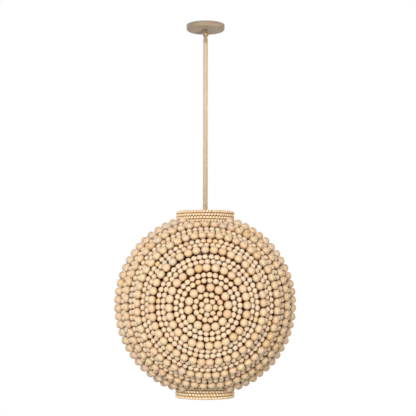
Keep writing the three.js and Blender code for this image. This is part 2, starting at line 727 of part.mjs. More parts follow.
// A strand body: rows of beads that touch, threaded side by side, as one closed body.
// Each bead is a four-sided stud whose feet lie halfway between it and its neighbours,
// and the inside is one line that rests on the cage. A group is a run of rows with the same bead count.
function strand(groups, side) {
  const points = [];
  const faces = [];
  const open = side !== 0;
  const put = (radius, angle, turn) => points.push(globePoint(radius, angle, turn)) - 1;
  const rows = groups.flat();

  // A line along the ring: its vertices and the turn of each.
  function line(radius, angle, start, end, count, phase) {
    const total = open && phase === 0 ? count + 1 : count;
    const turns = Array.from(
      { length: total },
      (_, i) => start + ((end - start) * (i + phase)) / count,
    );
    const ids = turns.map((turn) => put(radius, angle, turn));
    if (!open) {
      ids.push(ids[0]);
      turns.push(turns[0] + (end - start));
    }
    return { ids, turns };
  }

  // Triangles between two lines, each step along the line whose next vertex comes first.
  function zip(a, b) {
    let i = 0;
    let j = 0;
    while (i < a.ids.length - 1 || j < b.ids.length - 1) {
      const nextA = i < a.ids.length - 1 ? a.turns[i + 1] : Infinity;
      const nextB = j < b.ids.length - 1 ? b.turns[j + 1] : Infinity;
      if (nextA <= nextB) faces.push([a.ids[i], b.ids[j], a.ids[++i]]);
      else faces.push([a.ids[i], b.ids[j], b.ids[++j]]);
    }
  }

  const span = (row) => {
    if (!open) return [0, 2 * Math.PI];
    const start = collarTurn(row);
    return side > 0 ? [start, Math.PI - start] : [Math.PI + start, 2 * Math.PI - start];
  };
  const middleOf = (a, b) => (a + b) / 2;

  let previous = null;
  const outline = [];
  const pole = rows[0].angle === 0 ? groups.shift()[0] : null;
  if (pole) {
    // The bead at the pole is a low dome, and the rings beside it close round it.
    const { bead } = pole;
    const sides = CENTRE_BEAD_SIDES;
    const shoulder = deg(SHOULDER_ANGLE);
    const bend = beside(pole, bead.r * Math.cos(shoulder), bead.r * Math.sin(shoulder));
    const base = beside(pole, BEAD_FOOT_SHARE * bead.r, BEAD_CORNER_SHARE * bead.r);
    const upper = line(bend.radius, bend.angle, 0, 2 * Math.PI, sides, 0);
    const lower = line(base.radius, base.angle, 0, 2 * Math.PI, sides, 0);
    const crest = put(bead.centreR + CREST_SHARE * bead.r, 0, 0);
    for (let i = 0; i < sides; i++) faces.push([upper.ids[i + 1], upper.ids[i], crest]);
    zip(lower, upper);
    previous = lower;
  }
  for (const group of groups) {
    const { bead } = group[0];
    const foot = BEAD_CORNER_SHARE * bead.r;
    const height = BEAD_FOOT_SHARE * bead.r;
    const spans = group.map(span);
    const mean = group.reduce((sum, row) => sum + Math.sin(row.angle), 0) / group.length;
    const [s0, e0] = spans[0];
    const [s1, e1] = spans.at(-1);
    const length = middleOf(e0 - s0, e1 - s1) * bead.centreR * mean;
    const count = Math.round(length / bead.pitch);
    const first = beside(group[0], height, -foot);
    const feet = [line(first.radius, first.angle, s0, e0, count, 0)];
    for (let k = 1; k < group.length; k++) {
      const [[sa, ea], [sb, eb]] = [spans[k - 1], spans[k]];
      const angle = middleOf(group[k - 1].angle, group[k].angle);
      feet.push(
        line(bead.centreR + height, angle, middleOf(sa, sb), middleOf(ea, eb), count, 0),
      );
    }
    const last = beside(group.at(-1), height, foot);
    feet.push(line(last.radius, last.angle, s1, e1, count, 0));
    group.forEach((row, k) => {
      const [start, end] = spans[k];
      const crestR = bead.centreR + CREST_SHARE * bead.r;
      const crest = line(crestR, row.angle, start, end, count, 1 / 2);
      const [low, high] = [feet[k].ids, feet[k + 1].ids];
      for (let i = 0; i < count; i++) {
        const top = crest.ids[i];
        faces.push([low[i], low[i + 1], top]);
        faces.push([low[i + 1], high[i + 1], top]);
        faces.push([high[i + 1], high[i], top]);
        faces.push([high[i], low[i], top]);
      }
    });
    if (previous) zip(feet[0], previous);
    previous = feet.at(-1);
    outline.push(...feet);
  }

  if (pole) {
    const rest = put(seatR, 0, 0);
    const { ids } = outline.at(-1);
    for (let i = 0; i < ids.length - 1; i++) faces.push([ids[i], ids[i + 1], rest]);
    return bodyOf(points, faces);
  }

  const middle = middleOf(rows[0].angle, rows.at(-1).angle);
  const [start, end] = span(rows[Math.floor(rows.length / 2)]);
  const around = seatR * Math.sin(middle) * 2 * Math.PI;
  const steps = open ? ARC_INNER_STEPS : 4 * Math.ceil(around / INNER_STEP_LENGTH / 4);
  // The middle of each facet rests on the cage's sphere, so its ends lie further from the Y axis.
  const innerRho = (seatR * Math.sin(middle)) / Math.cos((end - start) / steps / 2);
  const innerR = Math.hypot(innerRho, seatR * Math.cos(middle));
  const innerAngle = Math.atan2(innerRho, seatR * Math.cos(middle));
  // A closed inner line starts half a step round, so that the middle of a facet rests on each rib.
  const shift = open ? 0 : (end - start) / steps / 2;
  const inner = line(innerR, innerAngle, start + shift, end + shift, steps, 0);
  zip(inner, outline.at(-1));
  zip(outline[0], inner);
  if (open) {
    for (const at of [0, -1]) {
      const hub = inner.ids.at(at);
      for (let k = 0; k < outline.length - 1; k++) {
        const face = [hub, outline[k].ids.at(at), outline[k + 1].ids.at(at)];
        faces.push(at === 0 ? face : face.reverse());
      }
    }
  }
  return bodyOf(points, faces);
}

// The dome's rows as strands: a row of large beads, or the two rows of small beads between two of those.
const domeStrands = [];
for (const row of domeRows) {
  if (row.bead === SMALL && domeStrands.at(-1)[0].pair === row.pair) domeStrands.at(-1).push(row);
  else domeStrands.push([row]);
}
const rings = domeStrands.slice(2).filter((rows) => !rows.some(meetsCollar));
const arcs = domeStrands.slice(2).filter((rows) => rows.some(meetsCollar));
const middleRow = { bead: SMALL, angle: Math.PI / 2 };
const sideGroups = arcs.slice(0, -1);
const middleGroups = [arcs.at(-1), [middleRow], [backOf(arcs.at(-1)[0])]];
const backwards = (geometry, isBack) => (isBack ? geometry.rotateZ(Math.PI) : geometry);

for (const [end, isBack] of [["front", false], ["back", true]]) {
  const centre = strand([domeStrands[0], domeStrands[1].slice(0, 1), domeStrands[1].slice(1)], 0);
  add(globe, end + "_centre_beads", backwards(centre, isBack), WOOD_LARGE);
  let large = 0;
  let small = 0;
  for (const rows of rings) {
    const isLarge = rows[0].bead === LARGE;
    const name = isLarge ? "_large_ring_" + ++large : "_small_rings_" + ++small;
    const body = backwards(strand([rows], 0), isBack);
    add(globe, end + name, body, isLarge ? WOOD_LARGE : WOOD_SMALL);
  }
  for (const [name, side] of [["left", -1], ["right", 1]]) {
    const body = backwards(strand([...sideGroups], isBack ? -side : side), isBack);
    add(globe, name + "_" + end + "_arcs", body, WOOD_SMALL);
  }
}
for (const [name, side] of [["left", -1], ["right", 1]]) {
  add(globe, name + "_middle_arcs", strand([...middleGroups], side), WOOD_LARGE);
}

// Cage: ribs from band to band, let into a middle hoop by half of their thickness.
// Their outer faces bend under each strand, so that every strand rests on them.
const middleAngle = (rows) => (rows[0].angle + rows.at(-1).angle) / 2;
const restAngles = [...rings.map(middleAngle), middleAngle(sideGroups.flat())];
const lapOuter = CAGE_R - RIB_THICKNESS / 2 + CLEARANCE / 2;
const lapInner = CAGE_R - RIB_THICKNESS / 2 - CLEARANCE / 2;

function rib(bends) {
  const endR = BAND_OUTER_R + CLEARANCE;
  const innerR = CAGE_R - RIB_THICKNESS;
  const onArc = (radius, angle) => [radius * Math.cos(angle), radius * Math.sin(angle)];
  const outerEnd = Math.acos(endR / CAGE_R);
  const innerEnd = Math.acos(endR / innerR);
  const lapHalf = HOOP_HEIGHT / 2 + CLEARANCE;
  const lapX = Math.sqrt(innerR ** 2 - lapHalf ** 2);
  const upperBends = bends.filter((a) => a > 0 && a < outerEnd).sort((a, b) => a - b);
  const outer = [...upperBends, outerEnd].map((a) => onArc(CAGE_R, a));
  const inner = Array.from({ length: RIB_INNER_STEPS / 2 }, (_, i) =>
    onArc(innerR, (innerEnd * (i + 1)) / (RIB_INNER_STEPS / 2)),
  );
  const upper = [[CAGE_R, 0], ...outer, ...inner.reverse(), [lapX, lapHalf], [lapOuter, lapHalf]];
  const lower = upper.slice(1).map(([x, z]) => [x, -z]);
  const outline = [...upper, ...lower.reverse()];
  return plate(outline, [], -RIB_WIDTH / 2, RIB_WIDTH).rotateX(Math.PI / 2);
}

function middleHoop() {
  const lapHalf = RIB_WIDTH / 2 + CLEARANCE;
  const lapAngle = Math.asin(lapHalf / CAGE_R);
  const bends = restAngles.filter((a) => a > lapAngle && a < Math.PI / 2 - lapAngle);
  const quarter = [
    [lapInner, -lapHalf],
    [lapInner, lapHalf],
    ...[lapAngle, ...bends, Math.PI / 2 - lapAngle].map((a) => [
      CAGE_R * Math.cos(a),
      CAGE_R * Math.sin(a),
    ]),
  ];
  // The quarter runs from the front's lap to the side's, and its mirror image brings it round to the back.
  const outline = [];
  for (let k = 0; k < 4; k++) {
    const turn = (k * Math.PI) / 2;
    const points = k % 2 === 0 ? quarter : mirroredQuarter(quarter, lapHalf);
    for (const [x, y] of points) {
      outline.push([
        x * Math.cos(turn) - y * Math.sin(turn),
        x * Math.sin(turn) + y * Math.cos(turn),
      ]);
    }
  }
  const innerR = CAGE_R - RIB_THICKNESS;
  const hole = ringPoints(innerR, 2 * RIB_INNER_STEPS);
  return plate(outline, [hole], -HOOP_HEIGHT / 2, HOOP_HEIGHT).rotateZ(-Math.PI / 2);
}

// The quarter of the hoop with its bends in the opposite order.
function mirroredQuarter(quarter, lapHalf) {
  const bends = quarter.slice(2).map(([x, y]) => [y, x]);
  return [[lapInner, -lapHalf], [lapInner, lapHalf], ...bends.reverse()];
}

const sideBends = Array.from({ length: SIDE_RIB_STEPS / 2 }, (_, i) => (i * Math.PI) / SIDE_RIB_STEPS);
add(globe, "rib_front", rib(restAngles).rotateZ(-Math.PI / 2), IRON);
add(globe, "rib_back", rib(restAngles).rotateZ(Math.PI / 2), IRON);
add(globe, "rib_left", rib(sideBends).rotateZ(Math.PI), IRON);
add(globe, "rib_right", rib(sideBends), IRON);
add(globe, "middle_hoop", middleHoop(), IRON);

export default part;
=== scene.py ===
# %% [markdown]
# A beaded globe chandelier
#
# The real light is an iron cage of four ribs and a hoop, covered with strings of turned wooden beads.
# It hangs on a stem from a small ball swivel under a round canopy.
# The construction comes in as a fixed frame. This script dresses it: every string gets its round beads
# and its wire, every turned part its smooth profile, and every surface its finish.

# %% Load the frame
import json
import math

import bmesh
import bpy
import numpy as np
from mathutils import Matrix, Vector


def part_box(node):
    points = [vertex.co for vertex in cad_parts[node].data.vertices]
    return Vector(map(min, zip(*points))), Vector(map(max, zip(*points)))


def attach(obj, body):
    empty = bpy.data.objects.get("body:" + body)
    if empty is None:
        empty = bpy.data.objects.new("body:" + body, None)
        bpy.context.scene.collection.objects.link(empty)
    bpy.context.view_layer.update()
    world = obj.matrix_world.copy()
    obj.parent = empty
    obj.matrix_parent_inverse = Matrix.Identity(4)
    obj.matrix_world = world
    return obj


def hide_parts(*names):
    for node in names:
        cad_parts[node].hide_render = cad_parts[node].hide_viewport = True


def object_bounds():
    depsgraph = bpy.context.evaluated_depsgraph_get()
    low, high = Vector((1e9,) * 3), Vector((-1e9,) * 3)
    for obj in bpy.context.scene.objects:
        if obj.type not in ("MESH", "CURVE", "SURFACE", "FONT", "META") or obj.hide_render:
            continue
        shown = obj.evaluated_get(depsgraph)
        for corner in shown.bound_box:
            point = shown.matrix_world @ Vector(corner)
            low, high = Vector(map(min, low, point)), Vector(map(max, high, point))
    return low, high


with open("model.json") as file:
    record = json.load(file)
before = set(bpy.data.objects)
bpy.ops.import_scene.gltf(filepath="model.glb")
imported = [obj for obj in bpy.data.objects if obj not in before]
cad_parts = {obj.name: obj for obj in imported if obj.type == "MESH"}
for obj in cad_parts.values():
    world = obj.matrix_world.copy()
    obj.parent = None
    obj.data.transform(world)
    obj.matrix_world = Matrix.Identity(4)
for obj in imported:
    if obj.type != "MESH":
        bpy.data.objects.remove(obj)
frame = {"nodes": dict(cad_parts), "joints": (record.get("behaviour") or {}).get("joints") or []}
cad_box = [list(corner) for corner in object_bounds()]

# %% [markdown]
# Measures
#
# Places are read from the frame, so that each new piece sits where the construction says.
# A node's box gives its lowest and highest corner. A round part's radius is half of its wider width,
# because a faceted round is only as wide as the real one where two of its corners face each other.
# Pieces that seat on each other have the same small gap between them everywhere.

# %% Read the main measures from the frame
MM = 0.001
GAP = 0.3 * MM


def low(node):
    return np.array(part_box(node)[0])


def high(node):
    return np.array(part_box(node)[1])


def radius_of(node):
    return (high(node) - low(node))[:2].max() / 2


globe = (low("middle_hoop") + high("middle_hoop")) / 2
cage_r = radius_of("middle_hoop")
collar_r = radius_of("top_collar_beads")
print("globe centre", globe.round(4), "cage radius", round(cage_r, 4))

# %% [markdown]
# Camera
#
# The photograph was taken from a long way off with a long lens, a little to the left of the globe's front
# and almost level with its middle. The canopy is far above the lens, so its underside shows.
# Tilting the camera up a few degrees frames the whole light without any lens shift.

# %% Place the camera
LENS_MM = 90.9
CAMERA_DISTANCE = 3.44
CAMERA_TURN = -2.0
CAMERA_ABOVE_GLOBE = 0.031
AIM_UP = 4.7
AIM_RIGHT = 0.16
ROLL = -0.1

turn = math.radians(CAMERA_TURN)
camera = bpy.data.objects.new("camera", bpy.data.cameras.new("camera"))
camera.data.lens = LENS_MM
camera.location = Vector(globe) + CAMERA_DISTANCE * Vector((math.sin(turn), -math.cos(turn), 0))
camera.location.z += CAMERA_ABOVE_GLOBE
camera.rotation_euler = (
    math.radians(90 + AIM_UP),
    math.radians(ROLL),
    turn - math.radians(AIM_RIGHT),
)
bpy.context.scene.collection.objects.link(camera)
bpy.context.scene.camera = camera
print("camera at", [round(c, 3) for c in camera.location])

# %% [markdown]
# From a grid of points to a piece
#
# Every new surface here is a grid: rows of points along one parameter, columns along the other.
# One function lists the four-sided faces of such a grid, and closes it on itself in either direction.
# Another merges the points that meet at a pole, turns the faces outwards and hands the piece to its body.


# %% Faces of a grid
def grid_faces(rows, columns, close_rows=False, close_columns=True):
    """Faces of a grid whose points are numbered row by row: each joins a point, the next in its row,
    and the same two in the next row. A closed direction joins the last line to the first."""
    i = np.arange(rows if close_rows else rows - 1)[:, None]
    j = np.arange(columns if close_columns else columns - 1)[None, :]
    i2, j2 = (i + 1) % rows, (j + 1) % columns
    corners = [i * columns + j, i * columns + j2, i2 * columns + j2, i2 * columns + j]
    return np.stack(corners, axis=-1).reshape(-1, 4)


def stacked(parts):
    """Several (points, faces) pairs as one, with the faces renumbered."""
    starts = np.cumsum([0] + [len(points) for points, _ in parts[:-1]])
    points = np.concatenate([p for p, _ in parts])
    faces = np.concatenate([f + s for (_, f), s in zip(parts, starts)])
    return points, faces


# %% Hand a finished piece to its body
MERGE_DISTANCE = 0.0001 * MM


def make_piece(name, body, material, parts, nodes=(), smooth_below=40, attributes=None):
    """Builds the mesh at its place, shades it smooth across edges that bend less than the given angle,
    paints it with the given material, hangs it on its body and hides the nodes it stands for."""
    points, faces = stacked(parts)
    mesh = bpy.data.meshes.new(name)
    mesh.from_pydata(points.tolist(), [], faces.tolist())
    for label, (kind, values) in (attributes or {}).items():
        key = "value" if kind == "FLOAT" else "vector"
        mesh.attributes.new(label, kind, "POINT").data.foreach_set(key, values.astype(np.float32).ravel())
    bm = bmesh.new()
    bm.from_mesh(mesh)
    bmesh.ops.remove_doubles(bm, verts=bm.verts, dist=MERGE_DISTANCE)
    if bm.calc_volume(signed=True) < 0:
        bmesh.ops.reverse_faces(bm, faces=bm.faces)
    bm.to_mesh(mesh)
    bm.free()
    mesh.shade_smooth()
    mesh.set_sharp_from_angle(angle=math.radians(smooth_below))
    mesh.materials.append(material)
    piece = bpy.data.objects.new(name, mesh)
    bpy.context.scene.collection.objects.link(piece)
    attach(piece, body)
    if nodes:
        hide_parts(*nodes)
    print(name, "on", body + ":", len(mesh.polygons), "faces")
    return piece


# %% [markdown]
# Writing materials in code
#
# A material is a small graph of nodes. Two helpers keep the graphs readable: one adds a node and fills its
# inputs with values or links, the other starts a node group, which several materials then share.
# Colours are written as they look on screen, from 0 to 255, and turned into the linear values of light.
# A Mix node has a set of sockets for each kind of data, so the ones for colours are found by their places.

# %% Helpers for node graphs
MIX_FACTOR, MIX_A, MIX_B, MIX_RESULT = 0, 6, 7, 2


def colour(red, green, blue):
    """A screen colour as linear light: each channel is raised to the power 2.4, as the sRGB curve does."""
    channel = np.array([red, green, blue]) / 255
    linear = np.where(channel <= 0.04045, channel / 12.92, ((channel + 0.055) / 1.055) ** 2.4)
    return (*linear.tolist(), 1.0)


def add_node(tree, kind, inputs=None, **settings):
    """Adds a node, sets its options, and fills each input from a value or a socket."""
    made = tree.nodes.new(kind)
    for key, value in settings.items():
        setattr(made, key, value)
    for key, value in (inputs or {}).items():
        if isinstance(value, bpy.types.NodeSocket):
            tree.links.new(value, made.inputs[key])
        else:
            made.inputs[key].default_value = value
    return made


def mixed(tree, factor, a, b, blend="MIX"):
    """A colour between a and b."""
    inputs = {MIX_FACTOR: factor, MIX_A: a, MIX_B: b}
    return add_node(tree, "ShaderNodeMix", inputs, data_type="RGBA", blend_type=blend).outputs[MIX_RESULT]


def ranged(tree, value, low_in, high_in, low_out, high_out):
    """A value carried from one range to another."""
    inputs = {"Value": value, "From Min": low_in, "From Max": high_in, "To Min": low_out, "To Max": high_out}
    return add_node(tree, "ShaderNodeMapRange", inputs).outputs["Result"]


def math_node(tree, operation, a, b):
    return add_node(tree, "ShaderNodeMath", {0: a, 1: b}, operation=operation).outputs["Value"]


def noise(tree, vector, scale, detail=2.0, roughness=0.5):
    inputs = {"Vector": vector, "Scale": scale, "Detail": detail, "Roughness": roughness}
    return add_node(tree, "ShaderNodeTexNoise", inputs).outputs["Fac"]


def stretched(tree, vector, scale):
    """The same coordinates squeezed or stretched along each axis."""
    return add_node(tree, "ShaderNodeMapping", {"Vector": vector, "Scale": scale}).outputs["Vector"]


# %% Start and finish a node group
def new_group(name, inputs, outputs):
    """An empty node group with named sockets. Returns the tree, its inputs and its output node."""
    tree = bpy.data.node_groups.new(name, "ShaderNodeTree")
    for label, (kind, value) in inputs.items():
        socket = tree.interface.new_socket(label, in_out="INPUT", socket_type="NodeSocket" + kind)
        if value is not None:
            socket.default_value = value
    for label, kind in outputs.items():
        tree.interface.new_socket(label, in_out="OUTPUT", socket_type="NodeSocket" + kind)
    return tree, tree.nodes.new("NodeGroupInput").outputs, tree.nodes.new("NodeGroupOutput")


def finish_group(tree, output, **values):
    for label, socket in values.items():
        tree.links.new(socket, output.inputs[label])


# %% Build a material round a group
def new_material(name, group, inputs, bump=0.0, vector=None, **shader):
    """A material whose Principled shader takes its colour, roughness and height from a group.
    Plain numbers, such as the metal and coat values, are set on the shader itself."""
    material = bpy.data.materials.new(name)
    material.use_nodes = True
    tree = material.node_tree
    principled = tree.nodes["Principled BSDF"]
    for key, value in shader.items():
        principled.inputs[key.replace("_", " ")].default_value = value
    if vector is None:
        vector = add_node(tree, "ShaderNodeTexCoord").outputs["Object"]
    else:
        vector = add_node(tree, "ShaderNodeAttribute", attribute_name=vector).outputs["Vector"]
    made = add_node(tree, "ShaderNodeGroup", node_tree=group)
    tree.links.new(vector, made.inputs["Vector"])
    for key, value in inputs.items():
        if isinstance(value, str):
            value = add_node(tree, "ShaderNodeAttribute", attribute_name=value).outputs["Fac"]
            tree.links.new(value, made.inputs[key])
        else:
            made.inputs[key].default_value = value
    tree.links.new(made.outputs["Color"], principled.inputs["Base Color"])
    tree.links.new(made.outputs["Roughness"], principled.inputs["Roughness"])
    if bump:
        height = {"Height": made.outputs["Height"], "Strength": 1.0, "Distance": bump}
        normal = add_node(tree, "ShaderNodeBump", height).outputs["Normal"]
        tree.links.new(normal, principled.inputs["Normal"])
    return material


# %% [markdown]
# Turned wood
#
# Each bead was turned from its own stick, with the grain along its bore, so no two are quite the same colour:
# most are cream, some pinkish, some yellow, a few greyish. A number stored on each bead, its tone, picks the
# colour from a ramp. A second stored value holds the bead's own coordinates, moved to a random place in the
# wood, so that growth rings and pores run along each bore and differ from bead to bead. A third says how far
# a point faces away from the globe: where it faces inwards, between the beads, the wood is painted dark
# brown, as painted shade for the shade that falls between them.

# %% The wood group and its tones
wood, wood_in, wood_out = new_group(
    "turned wood",
    {
        "Vector": ("Vector", None),
        "Tone": ("Float", 0.5),
        "Tint": ("Color", (1, 1, 1, 1)),
        "Ring Spacing": ("Float", 2.2 * MM),
        "Contrast": ("Float", 0.5),
        "Facing": ("Float", 1.0),
    },
    {"Color": "Color", "Roughness": "Float", "Height": "Float"},
)
ALONG_GRAIN = 0.08
along = stretched(wood, wood_in["Vector"], (ALONG_GRAIN, 1, 1))
tones = add_node(wood, "ShaderNodeValToRGB", {"Fac": wood_in["Tone"]})
ramp = tones.color_ramp
TONES = {
    0.0: colour(219, 203, 178),
    0.14: colour(227, 207, 177),
    0.32: colour(235, 211, 174),
    0.52: colour(236, 209, 169),
    0.68: colour(237, 207, 170),
    0.82: colour(234, 199, 163),
    0.93: colour(236, 201, 148),
    1.0: colour(220, 183, 136),
}
ramp.elements.remove(ramp.elements[1])
for place, value in TONES.items():
    stop = ramp.elements[0] if place == 0 else ramp.elements.new(place)
    stop.color = value

# %% Grain, pores and painted shade on top of the tones
RING_EDGES, PORE_EDGES = (0.42, 0.68), (0.62, 0.75)
PORE_SCALE, FIBRE_SCALE, FIBRE_HEIGHT = 900.0, 2600.0, 0.3
GRAIN_COLOUR, GRAIN_STRENGTH = colour(176, 134, 92), 0.5
# The dark brown laid on points that face inwards, between the beads, is painted shade for the shade that
# falls there.
BETWEEN_BEADS_SHADE_COLOUR, BETWEEN_BEADS_SHADE_STRENGTH = colour(120, 66, 18), 0.9
BETWEEN_BEADS_SHADE_FACING = (0.6, -0.35)
WOOD_ROUGHNESS = (0.42, 0.62)
ring_scale = math_node(wood, "DIVIDE", 1.0, wood_in["Ring Spacing"])
rings = noise(wood, along, ring_scale, detail=3.0, roughness=0.6)
fibres = noise(wood, along, FIBRE_SCALE, detail=1.0)
pores = noise(wood, along, PORE_SCALE, detail=2.0, roughness=0.7)
dark_line = ranged(wood, rings, *RING_EDGES, 0.0, 1.0)
dark_pore = ranged(wood, pores, *PORE_EDGES, 0.0, 1.0)
shade = math_node(wood, "MULTIPLY", math_node(wood, "ADD", dark_line, dark_pore), wood_in["Contrast"])
base = mixed(wood, 1.0, tones.outputs["Color"], wood_in["Tint"], "MULTIPLY")
grained = mixed(wood, math_node(wood, "MULTIPLY", shade, GRAIN_STRENGTH), base, GRAIN_COLOUR)
# Painted shade: points that face away from the outside of the globe are mixed towards the dark brown.
painted_shade = ranged(wood, wood_in["Facing"], *BETWEEN_BEADS_SHADE_FACING, 0.0, BETWEEN_BEADS_SHADE_STRENGTH)
grained = mixed(wood, painted_shade, grained, BETWEEN_BEADS_SHADE_COLOUR)
height = math_node(wood, "SUBTRACT", math_node(wood, "MULTIPLY", fibres, FIBRE_HEIGHT), dark_pore)
dullness = ranged(wood, pores, 0.0, 1.0, *WOOD_ROUGHNESS)
finish_group(wood, wood_out, Color=grained, Roughness=dullness, Height=height)
print("wood group:", len(wood.nodes), "nodes")


# %% The three bead finishes
def bead_wood(kind, tint, ring_spacing, contrast):
    """Waxed wood with its own tint and growth rings, read at the coordinates stored on each bead."""
    inputs = {
        "Tone": "tone", "Facing": "facing", "Tint": tint,
        "Ring Spacing": ring_spacing, "Contrast": contrast,
    }
    return new_material(
        f"waxed_{kind}_bead_wood", wood, inputs, bump=0.08 * MM, vector="grain",
        Coat_Weight=0.04, Coat_Roughness=0.35, Specular_IOR_Level=0.2,
    )


WOOD = {
    "large": bead_wood("large", tint=(1, 1, 1, 1), ring_spacing=3.0 * MM, contrast=0.75),
    "small": bead_wood("small", tint=(1.02, 1.04, 1.11, 1), ring_spacing=2.2 * MM, contrast=0.5),
    "tiny": bead_wood("tiny", tint=(1.1, 1.1, 1.1, 1), ring_spacing=1.6 * MM, contrast=0.35),
}
print("bead finishes:", [material.name for material in WOOD.values()])

# %% [markdown]
# Metal and paint
#
# The canopy and stem are metal painted in a beige wood tone, with faint streaks along the brush's stroke.
# The swivel is brass that has aged, the lock nuts and the lower stem are satin brass, and the cage is iron
# with a rough brown paint. One group serves them all: it mixes two colours by a streaked noise and dulls the
# surface in patches.

# %% The streaked finish group
finish, finish_in, finish_out = new_group(
    "streaked finish",
    {
        "Vector": ("Vector", None),
        "Light": ("Color", (0.8, 0.8, 0.8, 1)),
        "Dark": ("Color", (0.5, 0.5, 0.5, 1)),
        "Stretch": ("Vector", (1, 1, 1)),
        "Scale": ("Float", 40.0),
        "Smooth": ("Float", 0.3),
        "Rough": ("Float", 0.6),
    },
    {"Color": "Color", "Roughness": "Float", "Height": "Float"},
)
FINE_TIMES = 9.0
PATCH_SHARE, FINE_SHARE = 0.7, 0.3
STREAK_EDGES = (0.35, 0.65)
streaked = add_node(
    finish, "ShaderNodeVectorMath", {0: finish_in["Vector"], 1: finish_in["Stretch"]}, operation="MULTIPLY"
).outputs["Vector"]
patches = noise(finish, streaked, finish_in["Scale"], detail=4.0, roughness=0.55)
fine_scale = math_node(finish, "MULTIPLY", finish_in["Scale"], FINE_TIMES)
fine = noise(finish, streaked, fine_scale, detail=2.0, roughness=0.6)
patches = math_node(finish, "MULTIPLY", patches, PATCH_SHARE)
both = math_node(finish, "ADD", patches, math_node(finish, "MULTIPLY", fine, FINE_SHARE))
amount = ranged(finish, both, *STREAK_EDGES, 0.0, 1.0)
painted = mixed(finish, amount, finish_in["Dark"], finish_in["Light"])
dullness = ranged(finish, both, 0.0, 1.0, finish_in["Smooth"], finish_in["Rough"])
finish_group(finish, finish_out, Color=painted, Roughness=dullness, Height=both)
print("finish group:", len(finish.nodes), "nodes")


# %% Paints and metals
def surface(name, light, dark, stretch, scale, smooth, rough, bump, **shader):
    """A streaked finish: its two colours, how its streaks are stretched and how many fit in a metre, its
    least and its greatest roughness, and the height of its bumps in millimetres."""
    inputs = {
        "Light": colour(*light), "Dark": colour(*dark), "Stretch": stretch,
        "Scale": scale, "Smooth": smooth, "Rough": rough,
    }
    return new_material(name, finish, inputs, bump=bump * MM, **shader)


EVEN = (1, 1, 1)
CANOPY = surface(
    "canopy_paint", (160, 142, 120), (145, 127, 107), (0.25, 1, 2), 45, 0.55, 0.75, 0.05,
    Specular_IOR_Level=0.25,
)
STEM = surface(
    "stem_paint", (208, 188, 160), (190, 169, 142), (1, 1, 0.06), 220, 0.5, 0.65, 0.03,
    Specular_IOR_Level=0.25,
)
COUPLING = surface("coupling_paint", (196, 170, 136), (172, 144, 112), (1, 1, 0.3), 160, 0.4, 0.6, 0.03)
RING_NUT = surface("dark_bronze", (150, 124, 96), (116, 92, 68), EVEN, 120, 0.45, 0.6, 0.02, Metallic=0.3)
SWIVEL = surface(
    "aged_swivel_brass", (174, 150, 114), (136, 114, 82), EVEN, 130, 0.55, 0.7, 0.02, Metallic=0.25
)
BRASS = surface("satin_brass", (214, 182, 118), (176, 140, 80), EVEN, 90, 0.22, 0.4, 0.02, Metallic=1.0)
ZINC = surface("zinc_plate", (196, 198, 198), (158, 162, 166), EVEN, 150, 0.25, 0.45, 0.02, Metallic=1.0)
IRON = surface("brown_cage_paint", (128, 102, 74), (84, 64, 44), EVEN, 160, 0.5, 0.75, 0.08, Metallic=0.2)
WIRE = surface("annealed_wire", (104, 74, 46), (66, 44, 26), EVEN, 300, 0.5, 0.7, 0.01, Metallic=0.2)
BAND = surface("band_paint", (206, 172, 128), (176, 140, 98), EVEN, 160, 0.5, 0.7, 0.05)
# The strips' dark brown is painted shade: it stands for the shade inside the globe, seen through the gaps
# between the beads.
STRIP = surface(
    "dark_strip_paint", (104, 58, 16), (76, 40, 8), EVEN, 160, 0.7, 0.9, 0.05, Specular_IOR_Level=0.1
)
PORCELAIN = surface("holder_porcelain", (236, 230, 218), (226, 218, 202), EVEN, 60, 0.3, 0.4, 0.01)
OPAL = surface("opal_glass", (250, 246, 236), (244, 238, 226), EVEN, 20, 0.12, 0.2, 0.0, Coat_Weight=0.6)
print("materials:", len(bpy.data.materials))

# %% [markdown]
# One bead
#
# A bead is a ball with a bore through it. As a surface of revolution its profile runs round the outside from
# one rim of the bore to the other and comes back through the bore, so the grid closes on itself both ways and
# needs no poles. Twelve columns and eight rows are enough for a large one and fewer for the others, because
# smooth shading hides the facets and the light has more than two thousand of them.


# %% A bead on a grid
def bead_shape(columns, bands, bore_share):
    """A ball of radius 1 along X. A point is (cos t, sin t cos s, sin t sin s), where t runs from one rim of
    the bore to the other and s goes round. The bore is the band that joins the last row to the first."""
    rim = math.asin(bore_share)
    t = np.linspace(rim, math.pi - rim, bands + 1)[:, None]
    s = np.linspace(0, 2 * math.pi, columns, endpoint=False)[None, :]
    points = np.stack(np.broadcast_arrays(np.cos(t), np.sin(t) * np.cos(s), np.sin(t) * np.sin(s)), axis=-1)
    return points.reshape(-1, 3), grid_faces(bands + 1, columns, close_rows=True)


BORE_SHARE = {"large": 0.12, "small": 0.15, "tiny": 0.18}
COLUMNS = {"large": 12, "small": 10, "tiny": 8}
BANDS = {"large": 7, "small": 6, "tiny": 5}
SHAPE = {kind: bead_shape(COLUMNS[kind], BANDS[kind], BORE_SHARE[kind]) for kind in BORE_SHARE}
print({kind: len(faces) for kind, (_, faces) in SHAPE.items()}, "faces per bead")

# %% [markdown]
# Where the rows lie
#
# Rows run round the axis that points at the viewer: one large row, two small ones, one large again, each row
# touching the next. Two rows of balls that rest on the same sphere are as far apart as the cosine rule says.
# The rows that would cross the collars stop on either side of them.

# %% Work out the rows
DIAMETER = {"large": 25.4 * MM, "small": 17.1 * MM, "tiny": 9.5 * MM}
PITCH = {"large": 26.4 * MM, "small": 17.8 * MM, "tiny": 10.1 * MM}
seat_r = cage_r + GAP


def centre_radius(kind):
    return seat_r + DIAMETER[kind] / 2


def row_step(a, b):
    """The angle between two touching rows: the third side of the triangle is the two radii and the gap."""
    ra, rb = centre_radius(a), centre_radius(b)
    apart = (DIAMETER[a] + DIAMETER[b]) / 2 + GAP
    return math.acos((ra**2 + rb**2 - apart**2) / (2 * ra * rb))


